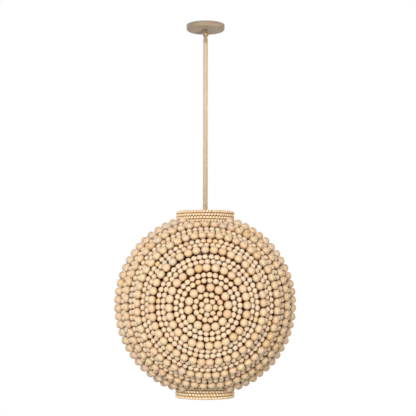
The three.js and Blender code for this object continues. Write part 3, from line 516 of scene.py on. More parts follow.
# From the pole to the middle row go as many whole periods as fit, and one more step from large to small. What
# is left over is shared out among all the steps.
across, between = row_step("large", "small"), row_step("small", "small")
period = 2 * across + between
periods = int((math.pi / 2 - across) / period)
ROWS_PER_PERIOD = 3
slack = (math.pi / 2 - across - periods * period) / (ROWS_PER_PERIOD * periods + 1)
dome = [("large", 0.0)]
for _ in range(periods):
    for kind, step in (("small", across), ("small", between), ("large", across)):
        dome.append((kind, dome[-1][1] + step + slack))
print(len(dome), "rows from the pole, the last at", round(math.degrees(dome[-1][1]), 1), "degrees")

# %% [markdown]
# Hand-strung rows
#
# Real rows are never perfect. Each one sways a little along the globe, beads differ by a few hundredths in
# size and sit slightly proud, and the rings of each dome close a little below its true middle.
# All of it is drawn from one seeded generator, so the light is the same each time.

# %% How far the strings stray from true
rng = np.random.default_rng(24)
SWELL = {"large": 1.055, "small": 1.065, "tiny": 1.1}
SIZE_SPREAD = {"large": 0.014, "small": 0.022, "tiny": 0.012}
SWAY = 0.5 * MM
HEIGHT_SPREAD = 0.4 * MM
SLIDE_SPREAD = 0.018
DOME_DROP = 1.85
DROP_REACH = 75.0


def dome_drop(angle):
    """How far the rings are turned down about X: most at the pole, and nothing from the reach on."""
    share = np.clip(angle / math.radians(DROP_REACH), 0, 1)
    return math.radians(DOME_DROP) * (1 - share * share * (3 - 2 * share))


def dropped(points, angle):
    """The points of a row, turned about X by as much as its dome has dropped there."""
    drop = dome_drop(min(angle, math.pi - angle)) * (1 if angle < math.pi / 2 else -1)
    c, s = math.cos(drop), math.sin(drop)
    return points @ np.array([[1, 0, 0], [0, c, s], [0, -s, c]])


# %% Draw a row of beads
def row_span(kind, rho, y):
    """The turn of an open row's first bead, which touches a collar, and the turn from there to its last."""
    start = math.asin(math.sqrt(max(0.0, (collar_r + DIAMETER[kind] / 2) ** 2 - y**2)) / rho)
    return start, math.pi - 2 * start


def bead_row(kind, angle, side, share):
    """Centres and wire directions of a row. A centre at turn t is (rho sin t, -R cos a, rho cos t), where a
    is the row's angle from the front and rho is R sin a. An open row runs from one collar to the other, and
    the first bead of a closed one lies past the top by the given share of the spacing."""
    big_r = centre_radius(kind)
    rho, y = big_r * math.sin(angle), -big_r * math.cos(angle)
    if side:
        start, sweep = row_span(kind, rho, y)
        count = round(sweep * rho / PITCH[kind]) + 1
        first, step = start + (math.pi if side < 0 else 0), sweep / (count - 1)
    else:
        count = max(1, round(2 * math.pi * rho / PITCH[kind]))
        step = 2 * math.pi / count
        first = share * step
    t = first + (np.arange(count) + rng.normal(0, SLIDE_SPREAD, count)) * step
    sway = sum(rng.normal(0, 1 / n) * np.sin(n * t + rng.uniform(0, 2 * math.pi)) for n in (1, 2, 3))
    a = angle + sway * SWAY / big_r
    if angle == 0:
        a = np.zeros(count)
    r = big_r + np.abs(rng.normal(0, HEIGHT_SPREAD, count))
    centres = np.stack([r * np.sin(a) * np.sin(t), -r * np.cos(a), r * np.sin(a) * np.cos(t)], axis=-1)
    wires = np.stack([np.cos(t), np.zeros(count), -np.sin(t)], axis=-1)
    centres, wires = dropped(centres, angle), dropped(wires, angle)
    clear = clear_of_collar(centres, kind)
    return centres[clear], wires[clear]


COLLAR_BITE = 0.44
low_of_collar = low("top_collar_beads")[2] - globe[2]


def clear_of_collar(centres, kind):
    """Which beads don't run into a collar. The last ring of a dome leaves out the few that would."""
    from_axis = np.hypot(centres[:, 0], centres[:, 1])
    beside = np.abs(centres[:, 2]) > low_of_collar - DIAMETER[kind] / 2
    return ~(beside & (from_axis < collar_r + COLLAR_BITE * DIAMETER[kind]))


# %% Place beads on a row
TINY_STRETCH = 1.06
BORE_TILT = 0.07
SIZE_LIMITS = (0.95, 1.05)
MIDDLE_TONE = 0.5
TONE_SPREAD = {"large": 0.21, "small": 0.21, "tiny": 0.12}


def placed_beads(kind, centres, wires):
    """Copies the bead to each centre. Its bore follows the wire, its spin and tilt are random, and each copy
    stores its tone, its own piece of the wood and how far each point faces away from the globe. A bead of a
    collar faces away from the stem instead."""
    shape, faces = SHAPE[kind]
    count = len(centres)
    x = wires + rng.normal(0, BORE_TILT, (count, 3))
    x /= np.linalg.norm(x, axis=1, keepdims=True)
    z = np.cross(x, rng.normal(0, 1, (count, 3)))
    z /= np.linalg.norm(z, axis=1, keepdims=True)
    axes = np.stack([x, np.cross(z, x), z], axis=1)
    grown = np.clip(1 + rng.normal(0, SIZE_SPREAD[kind], count), *SIZE_LIMITS)
    size = DIAMETER[kind] / 2 * SWELL[kind] * grown
    local = shape[None] * size[:, None, None]
    if kind == "tiny":
        local[..., 0] *= TINY_STRETCH
    placed = local @ axes
    outward = centres * (1, 1, 0) if kind == "tiny" else centres
    outward = outward / np.linalg.norm(outward, axis=1, keepdims=True)
    facing = (placed * outward[:, None]).sum(axis=2).ravel() / np.repeat(size, len(shape))
    points = (placed + centres[:, None]).reshape(-1, 3) + globe
    numbered = (faces[None] + (np.arange(count) * len(shape))[:, None, None]).reshape(-1, 4)
    tone = np.repeat(np.clip(rng.normal(MIDDLE_TONE, TONE_SPREAD[kind], count), 0, 1), len(shape))
    grain = (local + rng.uniform(-1, 1, (count, 1, 3))).reshape(-1, 3)
    return (points, numbered), {"tone": tone, "grain": grain, "facing": facing}


def bead_piece(node, kind, rows):
    """All beads of one node as one mesh."""
    placed = [placed_beads(row_kind, *row) for row_kind, row in rows]
    stored = {
        label: (attribute, np.concatenate([values[label] for _, values in placed]))
        for label, attribute in (("tone", "FLOAT"), ("grain", "FLOAT_VECTOR"), ("facing", "FLOAT"))
    }
    make_piece(
        node + "_round", "pendant", WOOD[kind], [part for part, _ in placed],
        nodes=[node], smooth_below=62, attributes=stored,
    )


# %% [markdown]
# The strings of the globe
#
# Front and back domes are strung alike: a centre, then single large rings and pairs of small ones.
# Beside the collars come the rows that stop at them, and the rows round the middle join the two domes.

# %% String the domes
CENTRE_ROWS = 3
wire_paths = []


def mirrored(angle, end):
    return angle if end == "front" else math.pi - angle


def strung(row, end="front", side=0):
    """A dome's row and its wire. Where it starts is drawn, as the stringer's hand leaves it to chance."""
    kind, angle = row
    made = bead_row(kind, mirrored(angle, end), side, rng.uniform())
    wire_paths.append((made[0], side == 0))
    return kind, made


clear_rows = [row for row in dome[CENTRE_ROWS:] if centre_radius(row[0]) * math.cos(row[1]) > collar_r + GAP]
whole_rows = CENTRE_ROWS + len(clear_rows)
arcs = dome[whole_rows:]
for end in ("front", "back"):
    bead_piece(end + "_centre_beads", "large", [strung(row, end) for row in dome[:CENTRE_ROWS]])
    larges = [row for row in clear_rows if row[0] == "large"]
    smalls = [row for row in clear_rows if row[0] == "small"]
    for number, row in enumerate(larges, 1):
        bead_piece(f"{end}_large_ring_{number}", "large", [strung(row, end)])
    for number, pair in enumerate(zip(smalls[::2], smalls[1::2]), 1):
        bead_piece(f"{end}_small_rings_{number}", "small", [strung(row, end) for row in pair])
    for name, side in (("left", -1), ("right", 1)):
        bead_piece(f"{name}_{end}_arcs", "small", [strung(row, end, side) for row in arcs[:-1]])
middle_row = ("small", math.pi / 2)
for name, side in (("left", -1), ("right", 1)):
    rows = [
        strung(arcs[-1], "front", side), strung(middle_row, "front", side), strung(arcs[-1], "back", side),
    ]
    bead_piece(f"{name}_middle_arcs", "large", rows)
print("strings:", len(wire_paths), "beads:", sum(len(path) for path, _ in wire_paths))

# %% [markdown]
# The collars
#
# A band at the top and one at the bottom each carry four rows of tiny beads. Each row is turned a little
# against the one below, so their highlights line up on the slant, like a plait.

# %% String the collars
COLLAR_ROWS = 4
ROW_TURN_SHARE = -0.42
ROW_PITCH = 9.8 * MM
TINY_SLIDE_SPREAD = 0.03
TINY_HEIGHT_SPREAD = 0.12 * MM
end_of_collar = high("top_collar_beads")[2] - globe[2]


def collar_rows(flip):
    """Rows of tiny beads round the Z axis, from a collar's end inwards, at the top or the bottom."""
    ring_r = collar_r - DIAMETER["tiny"] / 2
    count = round(2 * math.pi * ring_r / PITCH["tiny"])
    rows = []
    for number in range(COLLAR_ROWS):
        z = end_of_collar - DIAMETER["tiny"] / 2 - number * ROW_PITCH
        slide = rng.normal(0, TINY_SLIDE_SPREAD, count)
        t = (np.arange(count) + number * ROW_TURN_SHARE + slide) * 2 * math.pi / count
        height = np.full(count, z) * flip + rng.normal(0, TINY_HEIGHT_SPREAD, count)
        centres = np.stack([ring_r * np.cos(t), ring_r * np.sin(t), height], axis=-1)
        wires = np.stack([-np.sin(t), np.cos(t), np.zeros(count)], axis=-1)
        wire_paths.append((centres, True))
        rows.append(("tiny", (centres, wires)))
    return rows


for name, flip in (("top", 1), ("bottom", -1)):
    bead_piece(name + "_collar_beads", "tiny", collar_rows(flip))

# %% [markdown]
# Wires
#
# The beads are threaded on soft iron wire. It shows in the gaps, as thin dark links from bore to bore.
# A tube is a circle carried along a path. Its frame needs a direction that never lines up with the path,
# and on a globe the direction away from the middle does that.


# %% Carry a section along a path
def swept(section, path, outward, closed=True):
    """A closed section of (across, outward) points carried along a path. At each point the section stands
    square to the path, with its second axis as near as can be to the given outward direction."""
    path = np.asarray(path, float)
    if closed:
        ahead = np.roll(path, -1, axis=0) - np.roll(path, 1, axis=0)
    else:
        ahead = np.gradient(path, axis=0)
    ahead /= np.linalg.norm(ahead, axis=1, keepdims=True)
    side = np.cross(ahead, outward)
    side /= np.linalg.norm(side, axis=1, keepdims=True)
    up = np.cross(side, ahead)
    points = path[:, None] + section[None, :, :1] * side[:, None] + section[None, :, 1:] * up[:, None]
    points = points.reshape(-1, 3)
    if closed:
        return points, grid_faces(len(path), len(section), close_rows=True)
    return capped(points, len(path), len(section))


def capped(points, rows, columns):
    """Closes both ends of a tube with a fan: one more row at each end, shrunk to the middle of that end."""
    first, last = points[:columns].mean(axis=0), points[-columns:].mean(axis=0)
    points = np.concatenate([np.tile(first, (columns, 1)), points, np.tile(last, (columns, 1))])
    return points, grid_faces(rows + 2, columns)


def circle(radius, sides):
    s = np.linspace(0, 2 * math.pi, sides, endpoint=False)
    return radius * np.stack([np.cos(s), np.sin(s)], axis=-1)


# %% Thread the wires
WIRE_R, WIRE_SIDES = 0.7 * MM, 6
tubes = [
    swept(circle(WIRE_R, WIRE_SIDES), path + globe, path, closed)
    for path, closed in wire_paths
    if len(path) > 2
]
make_piece("threading_wires", "pendant", WIRE, tubes)
print("wires:", len(tubes))

# %% [markdown]
# The cage
#
# Four flat ribs run from the top band to the bottom one, let into a hoop at half height.
# Each is a flat section with rounded corners, carried along an arc: smooth where the construction has facets.
# Where a rib crosses the hoop, each gives up half of its thickness, so that they lie flush.

# %% A flat bar along an arc
RIB_WIDTH = 6 * MM
EDGE = 0.6 * MM
ARC_STEP = 0.03


def rounded_bar(width, thickness, corner, steps=3):
    """A rectangle with round corners, as (across, outward) points: a quarter circle at each corner."""
    half = np.array([width / 2 - corner, thickness / 2 - corner])
    signs = np.array([[1, 1], [-1, 1], [-1, -1], [1, -1]])
    a = np.linspace(0, math.pi / 2, steps)
    quarter = np.arange(4)[:, None] * math.pi / 2 + a[None, :]
    arcs_at = corner * np.stack([np.cos(quarter), np.sin(quarter)], axis=-1)
    return (signs[:, None] * half + arcs_at).reshape(-1, 2)


def level(a):
    """Outward directions in the level plane, as (cos a, sin a, 0)."""
    return np.stack([np.cos(a), np.sin(a), 0 * a], axis=-1)


def flat_arcs(spans, directions):
    """Flat bars along arcs about the middle of the globe. A span is the angles where it starts and stops, the
    radius of its middle line and its thickness. The given function turns angles into outward directions."""
    pieces = []
    for start, stop, radius, thickness in spans:
        a = np.linspace(start, stop, max(3, int((stop - start) / ARC_STEP)))
        out = directions(a)
        pieces.append(swept(rounded_bar(RIB_WIDTH, thickness, EDGE), out * radius + globe, out, False))
    return pieces


# %% Ribs and hoop
RIB_THICKNESS = 5 * MM
LAP = RIB_THICKNESS / 2
CROSSING = (RIB_WIDTH / 2 + GAP) / cage_r
band_r = radius_of("top_band")


def rib(turn_z):
    """An arc from band to band: at angle a the rib's middle is r (cos a) out and r (sin a) up. Where it
    crosses the hoop its inner half is cut away, and its ends are cut to stand flat against the bands."""
    r = cage_r - RIB_THICKNESS / 2
    end = math.acos((band_r + GAP) / cage_r)
    spans = [(-end, -CROSSING, r, RIB_THICKNESS), (CROSSING, end, r, RIB_THICKNESS)]
    spans.append((-CROSSING, CROSSING, cage_r - LAP / 2 + GAP / 4, LAP - GAP / 2))
    c, s = math.cos(turn_z), math.sin(turn_z)
    pieces = flat_arcs(spans, lambda a: np.stack([np.cos(a) * c, np.cos(a) * s, np.sin(a)], axis=-1))
    for points, _ in pieces:
        from_axis = np.hypot(points[:, 0], points[:, 1])
        points[:, :2] *= np.maximum(1, (band_r + GAP) / from_axis)[:, None]
    return pieces


def hoop():
    """Four arcs as thick as the ribs. Where a rib crosses, the outer half of the hoop is cut away instead."""
    between_ribs = cage_r - RIB_THICKNESS / 2
    at_rib = cage_r - RIB_THICKNESS + LAP / 2 - GAP / 4
    spans = []
    for a in np.arange(4) * math.pi / 2:
        spans.append((a + CROSSING, a + math.pi / 2 - CROSSING, between_ribs, RIB_THICKNESS))
        spans.append((a - CROSSING, a + CROSSING, at_rib, LAP - GAP / 2))
    return flat_arcs(spans, level)


for name, degrees in (("right", 0), ("back", 90), ("left", 180), ("front", -90)):
    node = "rib_" + name
    make_piece("smooth_" + node, "pendant", IRON, rib(math.radians(degrees)), [node])
make_piece("smooth_middle_hoop", "pendant", IRON, hoop(), ["middle_hoop"])

# %% The bands
BAND_WALL = 2 * MM
BAND_POINTS = 128
outward = level(np.linspace(0, 2 * math.pi, BAND_POINTS, endpoint=False))
for name in ("top", "bottom"):
    node = name + "_band"
    middle, tall = (low(node) + high(node)) / 2, high(node)[2] - low(node)[2]
    path = outward * (radius_of(node) - BAND_WALL / 2) + middle
    band = swept(rounded_bar(tall, BAND_WALL, EDGE), path, outward)
    make_piece("smooth_" + node, "pendant", BAND, [band], [node])

# %% [markdown]
# Dark strips
#
# Through the gaps between the beads nothing shows but dark brown shade, so under each seam between two rows
# lies a thin dark strip, bent to the globe and let into the ribs. The strips are painted shade: dark sheets
# that stand for the shade inside the globe. Each is as wide as the beads leave room for: a ball of radius r
# whose middle is h above the strip cuts it sqrt(r^2 - h^2) away from the row's own line.

# %% A strip under a seam
STRIP_THICKNESS = 0.5 * MM
STRIP_CORNER = 0.4 * STRIP_THICKNESS
STRIP_SUNK = 0.25 * MM
STRIP_POINTS = 96
SKIRT_WIDTH = 24 * MM
strip_r = cage_r - STRIP_SUNK - STRIP_THICKNESS / 2


def strip_section(width):
    return rounded_bar(width, STRIP_THICKNESS, STRIP_CORNER, steps=2)


def strip_edge(kind):
    """How far from the line of a row its beads let the strip begin, as an angle at the globe's middle."""
    r = SWELL[kind] * DIAMETER[kind] / 2
    h = centre_radius(kind) - cage_r + STRIP_SUNK
    return math.sqrt(r**2 - h**2) / strip_r


def strip(a, b, end, side):
    """The strip under the seam between two rows. An open one spans as far as the outer row does."""
    (kind_a, angle_a), (kind_b, angle_b) = a, b
    first, last = angle_a + strip_edge(kind_a), angle_b - strip_edge(kind_b)
    angle = mirrored((first + last) / 2, end)
    start, sweep, points = 0.0, 2 * math.pi, STRIP_POINTS
    if side:
        big_r = centre_radius(kind_b)
        start, sweep = row_span(kind_b, big_r * math.sin(angle_b), big_r * math.cos(angle_b))
        start, points = start + (math.pi if side < 0 else 0), STRIP_POINTS // 2
    s = start + np.linspace(0, sweep, points, endpoint=bool(side))
    r, y = math.sin(angle), -math.cos(angle)
    outward = np.stack([r * np.sin(s), np.full(points, y), r * np.cos(s)], axis=-1)
    path = dropped(outward * strip_r, angle)
    return swept(strip_section((last - first) * strip_r), path + globe, path, not side)


def skirt(flip):
    """A strip round a collar's foot, from the band outwards and just below the others. It closes the
    crescents between the collar and the rings that pass in front of it and behind it."""
    inner = math.asin((band_r + GAP) / strip_r)
    angle = inner + SKIRT_WIDTH / 2 / strip_r
    outward = level(np.linspace(0, 2 * math.pi, STRIP_POINTS, endpoint=False)) * math.sin(angle)
    outward[:, 2] = flip * math.cos(angle)
    path = outward * (strip_r - 2 * STRIP_THICKNESS)
    return swept(strip_section(SKIRT_WIDTH), path + globe, outward)


# %% Lay all the strips
# These dark strips are painted shade, laid under every seam and round the foot of both collars.
strips = [skirt(1), skirt(-1)]
for end in ("front", "back"):
    for number, (a, b) in enumerate(zip(dome[:-1], dome[1:]), 1):
        strips += [strip(a, b, end, side) for side in ((0,) if number < whole_rows else (-1, 1))]
    strips += [strip(dome[-1], middle_row, end, side) for side in (-1, 1)]
make_piece("carrier_strips", "pendant", STRIP, strips)
print("strips:", len(strips))

# %% [markdown]
# Turned parts
#
# The canopy, the swivel and the stem are all round. Each is a profile of radius and height, carried round
# the Z axis. Sharp corners catch no light, so a helper first rounds every corner of the profile a little.

# %% Round a profile and turn it
CORNER_STEPS = 3
CORNER_SHARE = 0.45


def softened(profile, radius):
    """Replaces each corner by a short curve: points at t on the way are (1-t)^2 of the point before the
    corner, 2t(1-t) of the corner and t^2 of the point after it. A corner takes less than half of an edge."""
    profile = np.asarray(profile, float)
    before, after = np.roll(profile, 1, axis=0) - profile, np.roll(profile, -1, axis=0) - profile
    t = np.linspace(0, 1, CORNER_STEPS)[None, :, None]

    def towards(edge):
        length = np.linalg.norm(edge, axis=1, keepdims=True)
        return profile + edge / np.maximum(length, MERGE_DISTANCE) * np.minimum(radius, CORNER_SHARE * length)

    a, b = towards(before)[:, None], towards(after)[:, None]
    curve = (1 - t) ** 2 * a + 2 * t * (1 - t) * profile[:, None] + t**2 * b
    return curve.reshape(-1, 2)


def turned(profile, edge=0.4 * MM, columns=72, closed=True):
    """The profile round the Z axis: a point at turn s is (r cos s, r sin s, z). Each corner is rounded by the
    given edge. An open profile starts and ends on the axis, where its rows shrink to a pole."""
    rows = softened(profile, edge)
    if not closed:
        rows = rows[CORNER_STEPS - 1:1 - CORNER_STEPS]
        rows[0, 0] = rows[-1, 0] = 0
    s = np.linspace(0, 2 * math.pi, columns, endpoint=False)[None, :]
    r, z = rows[:, :1], rows[:, 1:]
    points = np.stack(np.broadcast_arrays(r * np.cos(s), r * np.sin(s), z), axis=-1).reshape(-1, 3)
    return points, grid_faces(len(rows), columns, close_rows=closed)


def arc_points(radius, start, stop, steps, centre_r=0.0, centre_z=0.0):
    """Points of a profile on a circle, for angles in degrees from straight up."""
    a = np.radians(np.linspace(start, stop, steps))
    return list(zip(centre_r + radius * np.sin(a), centre_z + radius * np.cos(a)))


# %% The canopy
canopy_r, canopy_low = radius_of("canopy"), low("canopy")[2]
WALL = 1.5 * MM
CANOPY_EDGE = 6.5 * MM
CANOPY_COLUMNS = 128
NIPPLE_HOLE_R = 5.2 * MM
NUT_CHAMFER = 0.7 * MM
bend_r, bend_z = canopy_r - CANOPY_EDGE, canopy_low + CANOPY_EDGE
canopy_profile = [
    (canopy_r, 0.0),
    *arc_points(CANOPY_EDGE, 90, 180, 9, bend_r, bend_z),
    (NIPPLE_HOLE_R, canopy_low),
    (NIPPLE_HOLE_R, canopy_low + WALL),
    *arc_points(CANOPY_EDGE - WALL, 180, 90, 7, bend_r, bend_z),
    (canopy_r - WALL, 0.0),
]
make_piece(
    "smooth_canopy", "ceiling_fitting", CANOPY,
    [turned(canopy_profile, edge=0.3 * MM, columns=CANOPY_COLUMNS)], ["canopy"],
)
nut_low, nut_high, nut_r = low("canopy_ring_nut")[2], high("canopy_ring_nut")[2], radius_of("canopy_ring_nut")
nut_profile = [
    (NIPPLE_HOLE_R, nut_low), (nut_r - NUT_CHAMFER, nut_low), (nut_r, nut_low + NUT_CHAMFER),
    (nut_r, nut_high), (NIPPLE_HOLE_R, nut_high),
]
make_piece(
    "smooth_ring_nut", "ceiling_fitting", RING_NUT,
    [turned(nut_profile, edge=0.3 * MM)], ["canopy_ring_nut"],
)

# %% [markdown]
# The swivel
#
# A small ball hangs in a cup inside the golden shell, so the stem stays upright under a sloping ceiling.
# Below it comes a narrow neck and the socket that the stem screws into. The neck widens only where it swings
# clear of the shell: at 20 degrees of tilt its side may stand 25 degrees from its axis, less some room, until
# it is further from the ball's middle than the shell is.

# %% The shell
pivot = np.array(frame["joints"][0]["pos_m"])
CUP_R, SHELL_R, SHELL_NECK_R = 8.2 * MM, 10.0 * MM, 7.5 * MM
SHELL_LIP = 135
shell_top = high("swivel_shell")[2] - pivot[2]


def at_pivot(part):
    points, faces = part
    return points + pivot, faces


def degrees_from_up(radius, ball):
    return math.degrees(math.asin(radius / ball))


shell_bore = CUP_R + GAP
shell_profile = [
    (NIPPLE_HOLE_R, shell_top),
    (SHELL_NECK_R, shell_top),
    *arc_points(SHELL_R, degrees_from_up(SHELL_NECK_R, SHELL_R), SHELL_LIP, 14),
    *arc_points(shell_bore, SHELL_LIP, degrees_from_up(NIPPLE_HOLE_R, shell_bore), 12),
]
make_piece(
    "smooth_swivel_shell", "ceiling_fitting", SWIVEL,
    [at_pivot(turned(shell_profile, edge=0.25 * MM))], ["swivel_shell"],
)

# %% The cup and its key pins
BALL_R = 7.0 * MM
CUP_TOP, CUP_LIP = 60, 132
KEY_PIN_R, KEY_PIN_TIP = 1.0 * MM, 5.0 * MM
cup_bore = BALL_R + GAP
cup_profile = [*arc_points(CUP_R, CUP_TOP, CUP_LIP, 10), *arc_points(cup_bore, CUP_LIP, CUP_TOP, 10)]


def key_pin(side):
    """A short round bar along X, from inside the ball out into the cup's wall."""
    path = np.linspace([side * KEY_PIN_TIP, 0, 0], [side * (CUP_R - GAP), 0, 0], 4)
    return swept(circle(KEY_PIN_R, 16), path + pivot, np.array([0.0, 0.0, 1.0]), False)


make_piece(
    "smooth_swivel_cup", "swivel_cup", BRASS,
    [at_pivot(turned(cup_profile, edge=0.15 * MM)), key_pin(1), key_pin(-1)], ["swivel_seat"],
)

# %% The ball, its neck and its socket
NECK_R, BORE_R, SOCKET_R = 3.0 * MM, 2.2 * MM, radius_of("swivel_ball")
NECK_STRAIGHT, NECK_FLARED, FLARE = 7.4 * MM, 9.4 * MM, 0.8 * MM
SHOULDER_WIDTH, SOCKET_CHAMFER, SOCKET_CHAMFER_HEIGHT = 2.0 * MM, 1.0 * MM, 1.8 * MM
SPIGOT_HOLE_R, SOCKET_DEPTH, SOCKET_HEIGHT = 5.3 * MM, 12.5 * MM, 16.4 * MM
socket_low = low("swivel_ball")[2] - pivot[2]
socket_top = socket_low + SOCKET_HEIGHT
socket_floor = socket_low + SOCKET_DEPTH
ball_profile = [
    *arc_points(BALL_R, degrees_from_up(BORE_R, BALL_R), 180 - degrees_from_up(NECK_R, BALL_R), 18),
    (NECK_R, -NECK_STRAIGHT),
    (NECK_R + FLARE, -NECK_FLARED),
    (SOCKET_R - SHOULDER_WIDTH, -SHELL_R - 2 * GAP),
    (SOCKET_R - SOCKET_CHAMFER, socket_top),
    (SOCKET_R, socket_top - SOCKET_CHAMFER_HEIGHT),
    (SOCKET_R, socket_low),
    (SPIGOT_HOLE_R, socket_low),
    (SPIGOT_HOLE_R, socket_floor),
    (BORE_R, socket_floor),
]
make_piece(
    "smooth_swivel_ball", "pendant", SWIVEL,
    [at_pivot(turned(ball_profile, edge=0.2 * MM))], ["swivel_ball"],
)

# %% [markdown]
# The stem
#
# One painted tube hangs in the socket, and a short coupling joins it to the lower stem above the globe.

# %% Stem tube, coupling and lower stem
STEM_R, STEM_BORE_R, SPIGOT_R, SPIGOT = radius_of("stem_tube"), 3.8 * MM, 5.0 * MM, 12 * MM
COUPLING_CHAMFER = 0.8 * MM
LOWER_R, LOWER_BORE_R = 5.0 * MM, 3.4 * MM
stem_high, stem_low = high("stem_tube")[2], low("stem_tube")[2]
stem_profile = [
    (STEM_BORE_R, stem_high), (SPIGOT_R, stem_high), (SPIGOT_R, stem_high - SPIGOT),
    (STEM_R, stem_high - SPIGOT), (STEM_R, stem_low + SPIGOT),
    (SPIGOT_R, stem_low + SPIGOT), (SPIGOT_R, stem_low), (STEM_BORE_R, stem_low),
]
make_piece("smooth_stem", "pendant", STEM, [turned(stem_profile)], ["stem_tube"])
c_low, c_high, c_r = low("stem_coupling")[2], high("stem_coupling")[2], radius_of("stem_coupling")
coupling_profile = [
    (SPIGOT_HOLE_R, c_low), (c_r, c_low), (c_r, c_high - COUPLING_CHAMFER),
    (c_r - COUPLING_CHAMFER, c_high), (SPIGOT_HOLE_R, c_high),
]
make_piece(
    "smooth_coupling", "pendant", COUPLING,
    [turned(coupling_profile, edge=0.3 * MM)], ["stem_coupling"],
)
l_low, l_high = low("lower_stem")[2], high("lower_stem")[2]
lower_profile = [(LOWER_BORE_R, l_high), (LOWER_R, l_high), (LOWER_R, l_low), (LOWER_BORE_R, l_low)]
make_piece("smooth_lower_stem", "pendant", BRASS, [turned(lower_profile)], ["lower_stem"])

# %% [markdown]
# The lamps
#
# Three opal bulbs stand in porcelain holders on a turned cluster at the end of the lower stem. Each holder
# and bulb is turned round its own axis first, then tipped out from straight down and swung to its place.

# %% The lamp cluster
LAMPS, LAMP_TILT = 3, 55
CLUSTER_R, CLUSTER_HALF, CLUSTER_EDGE = 19 * MM, 17 * MM, 5 * MM
BOSS_R, BOSS_REACH = 9 * MM, 30 * MM
lamp_centre = np.array([0.0, 0.0, high("lamp_cluster")[2] - CLUSTER_HALF])


def aimed(part, number):
    """The part tipped from straight up to LAMP_TILT from straight down, and swung to its third of a turn."""
    points, faces = part
    tip, swing = math.radians(180 - LAMP_TILT), math.pi / 2 + 2 * math.pi * number / LAMPS
    x = points[:, 0] * math.cos(tip) + points[:, 2] * math.sin(tip)
    z = points[:, 2] * math.cos(tip) - points[:, 0] * math.sin(tip)
    c, s = math.cos(swing), math.sin(swing)
    placed = np.stack([x * c - points[:, 1] * s, x * s + points[:, 1] * c, z], axis=-1)
    return placed + lamp_centre, faces


FINIAL_STEM_R, FINIAL_STEM = 3.5 * MM, 8 * MM
bend = CLUSTER_R - CLUSTER_EDGE
cluster_body = turned([
    (0, CLUSTER_HALF),
    *arc_points(CLUSTER_EDGE, 0, 90, 7, bend, CLUSTER_HALF - CLUSTER_EDGE),
    *arc_points(CLUSTER_EDGE, 90, 180, 7, bend, CLUSTER_EDGE - CLUSTER_HALF),
    (FINIAL_STEM_R + GAP, -CLUSTER_HALF),
    (FINIAL_STEM_R + GAP, FINIAL_STEM + GAP - CLUSTER_HALF),
    (0, FINIAL_STEM + GAP - CLUSTER_HALF),
], closed=False)
boss = turned([
    (0, BOSS_REACH), (BOSS_R, BOSS_REACH), (BOSS_R, bend / 2), (0, bend / 2),
], columns=40, closed=False)
cluster = [(cluster_body[0] + lamp_centre, cluster_body[1])] + [aimed(boss, n) for n in range(LAMPS)]
make_piece("smooth_lamp_cluster", "pendant", IRON, cluster, ["lamp_cluster"])

# %% Holders and bulbs
HOLDER_R, HOLDER_BORE_R, HOLDER_LENGTH, HOLDER_DEPTH = 14 * MM, 11.9 * MM, 38 * MM, 26 * MM
HOLDER_CHAMFER = 2.5 * MM
holder_back = BOSS_REACH + GAP
holder_front = holder_back + HOLDER_LENGTH
holder = turned([
    (0, holder_back), (HOLDER_R - HOLDER_CHAMFER, holder_back), (HOLDER_R, holder_back + HOLDER_CHAMFER),
    (HOLDER_R, holder_front), (HOLDER_BORE_R, holder_front),
    (HOLDER_BORE_R, holder_front - HOLDER_DEPTH), (0, holder_front - HOLDER_DEPTH),
], edge=0.6 * MM, closed=False)
BULB_R, BULB_LENGTH, BULB_BASE_R, BULB_BASE = 22.5 * MM, 78 * MM, 11.6 * MM, 27 * MM
bulb_back = holder_front - HOLDER_DEPTH + GAP
bulb = turned([
    (0, bulb_back), (BULB_BASE_R, bulb_back), (BULB_BASE_R, bulb_back + BULB_BASE),
    *arc_points(BULB_R, 135, 0, 22, 0, bulb_back + BULB_LENGTH - BULB_R),
], edge=0.8 * MM, closed=False)
for number in range(LAMPS):
    for name, shape, slot, material in (
        ("lamp_holder", holder, "holder_porcelain", PORCELAIN),
        ("bulb", bulb, "bulb_glass", OPAL),
    ):
        node = f"{name}_{number + 1}"
        make_piece("smooth_" + node, "pendant", material, [aimed(shape, number)], [node])

# %% The finial
FINIAL_R, FINIAL_HEIGHT = 8 * MM, 16 * MM
knob = -CLUSTER_HALF - GAP
finial = turned([
    (0, FINIAL_STEM - CLUSTER_HALF), (FINIAL_STEM_R, FINIAL_STEM - CLUSTER_HALF), (FINIAL_STEM_R, knob),
    (FINIAL_R, knob), (FINIAL_R, knob - FINIAL_HEIGHT / 4), (FINIAL_R / 2, knob - FINIAL_HEIGHT / 2),
    *arc_points(FINIAL_HEIGHT / 4, 60, 180, 10, 0, knob - FINIAL_HEIGHT * 3 / 4),
], edge=0.3 * MM, columns=48, closed=False)
make_piece(
    "smooth_cluster_finial", "pendant", BRASS,
    [(finial[0] + lamp_centre, finial[1])], ["cluster_finial"],
)

# %% [markdown]
# The threaded nipple and the box screws
#
# A threaded tube carries the light: it goes through crossbar, nut, canopy and ring nut into the swivel.
# Two screws hold the crossbar to the box in the ceiling. Threads are drawn as grooves, one for each turn.

# %% Cut the threads
THREAD_PITCH, THREAD_DEPTH, THREAD_EDGE, THREAD_SMOOTH_BELOW = 1.0 * MM, 0.4 * MM, 0.05 * MM, 25
NIPPLE_R, NIPPLE_BORE_R = 4.9 * MM, 3.3 * MM
SCREW_R, SCREW_HEAD_R, SCREW_HEAD = 2.1 * MM, 4.2 * MM, 2.6 * MM


def thread(radius, start, stop):
    """A profile that goes in and out once for each turn of the thread."""
    at = np.linspace(start, stop, 2 * int((stop - start) / THREAD_PITCH) + 1)
    return [(radius - THREAD_DEPTH * (number % 2 == 0), z) for number, z in enumerate(at)]


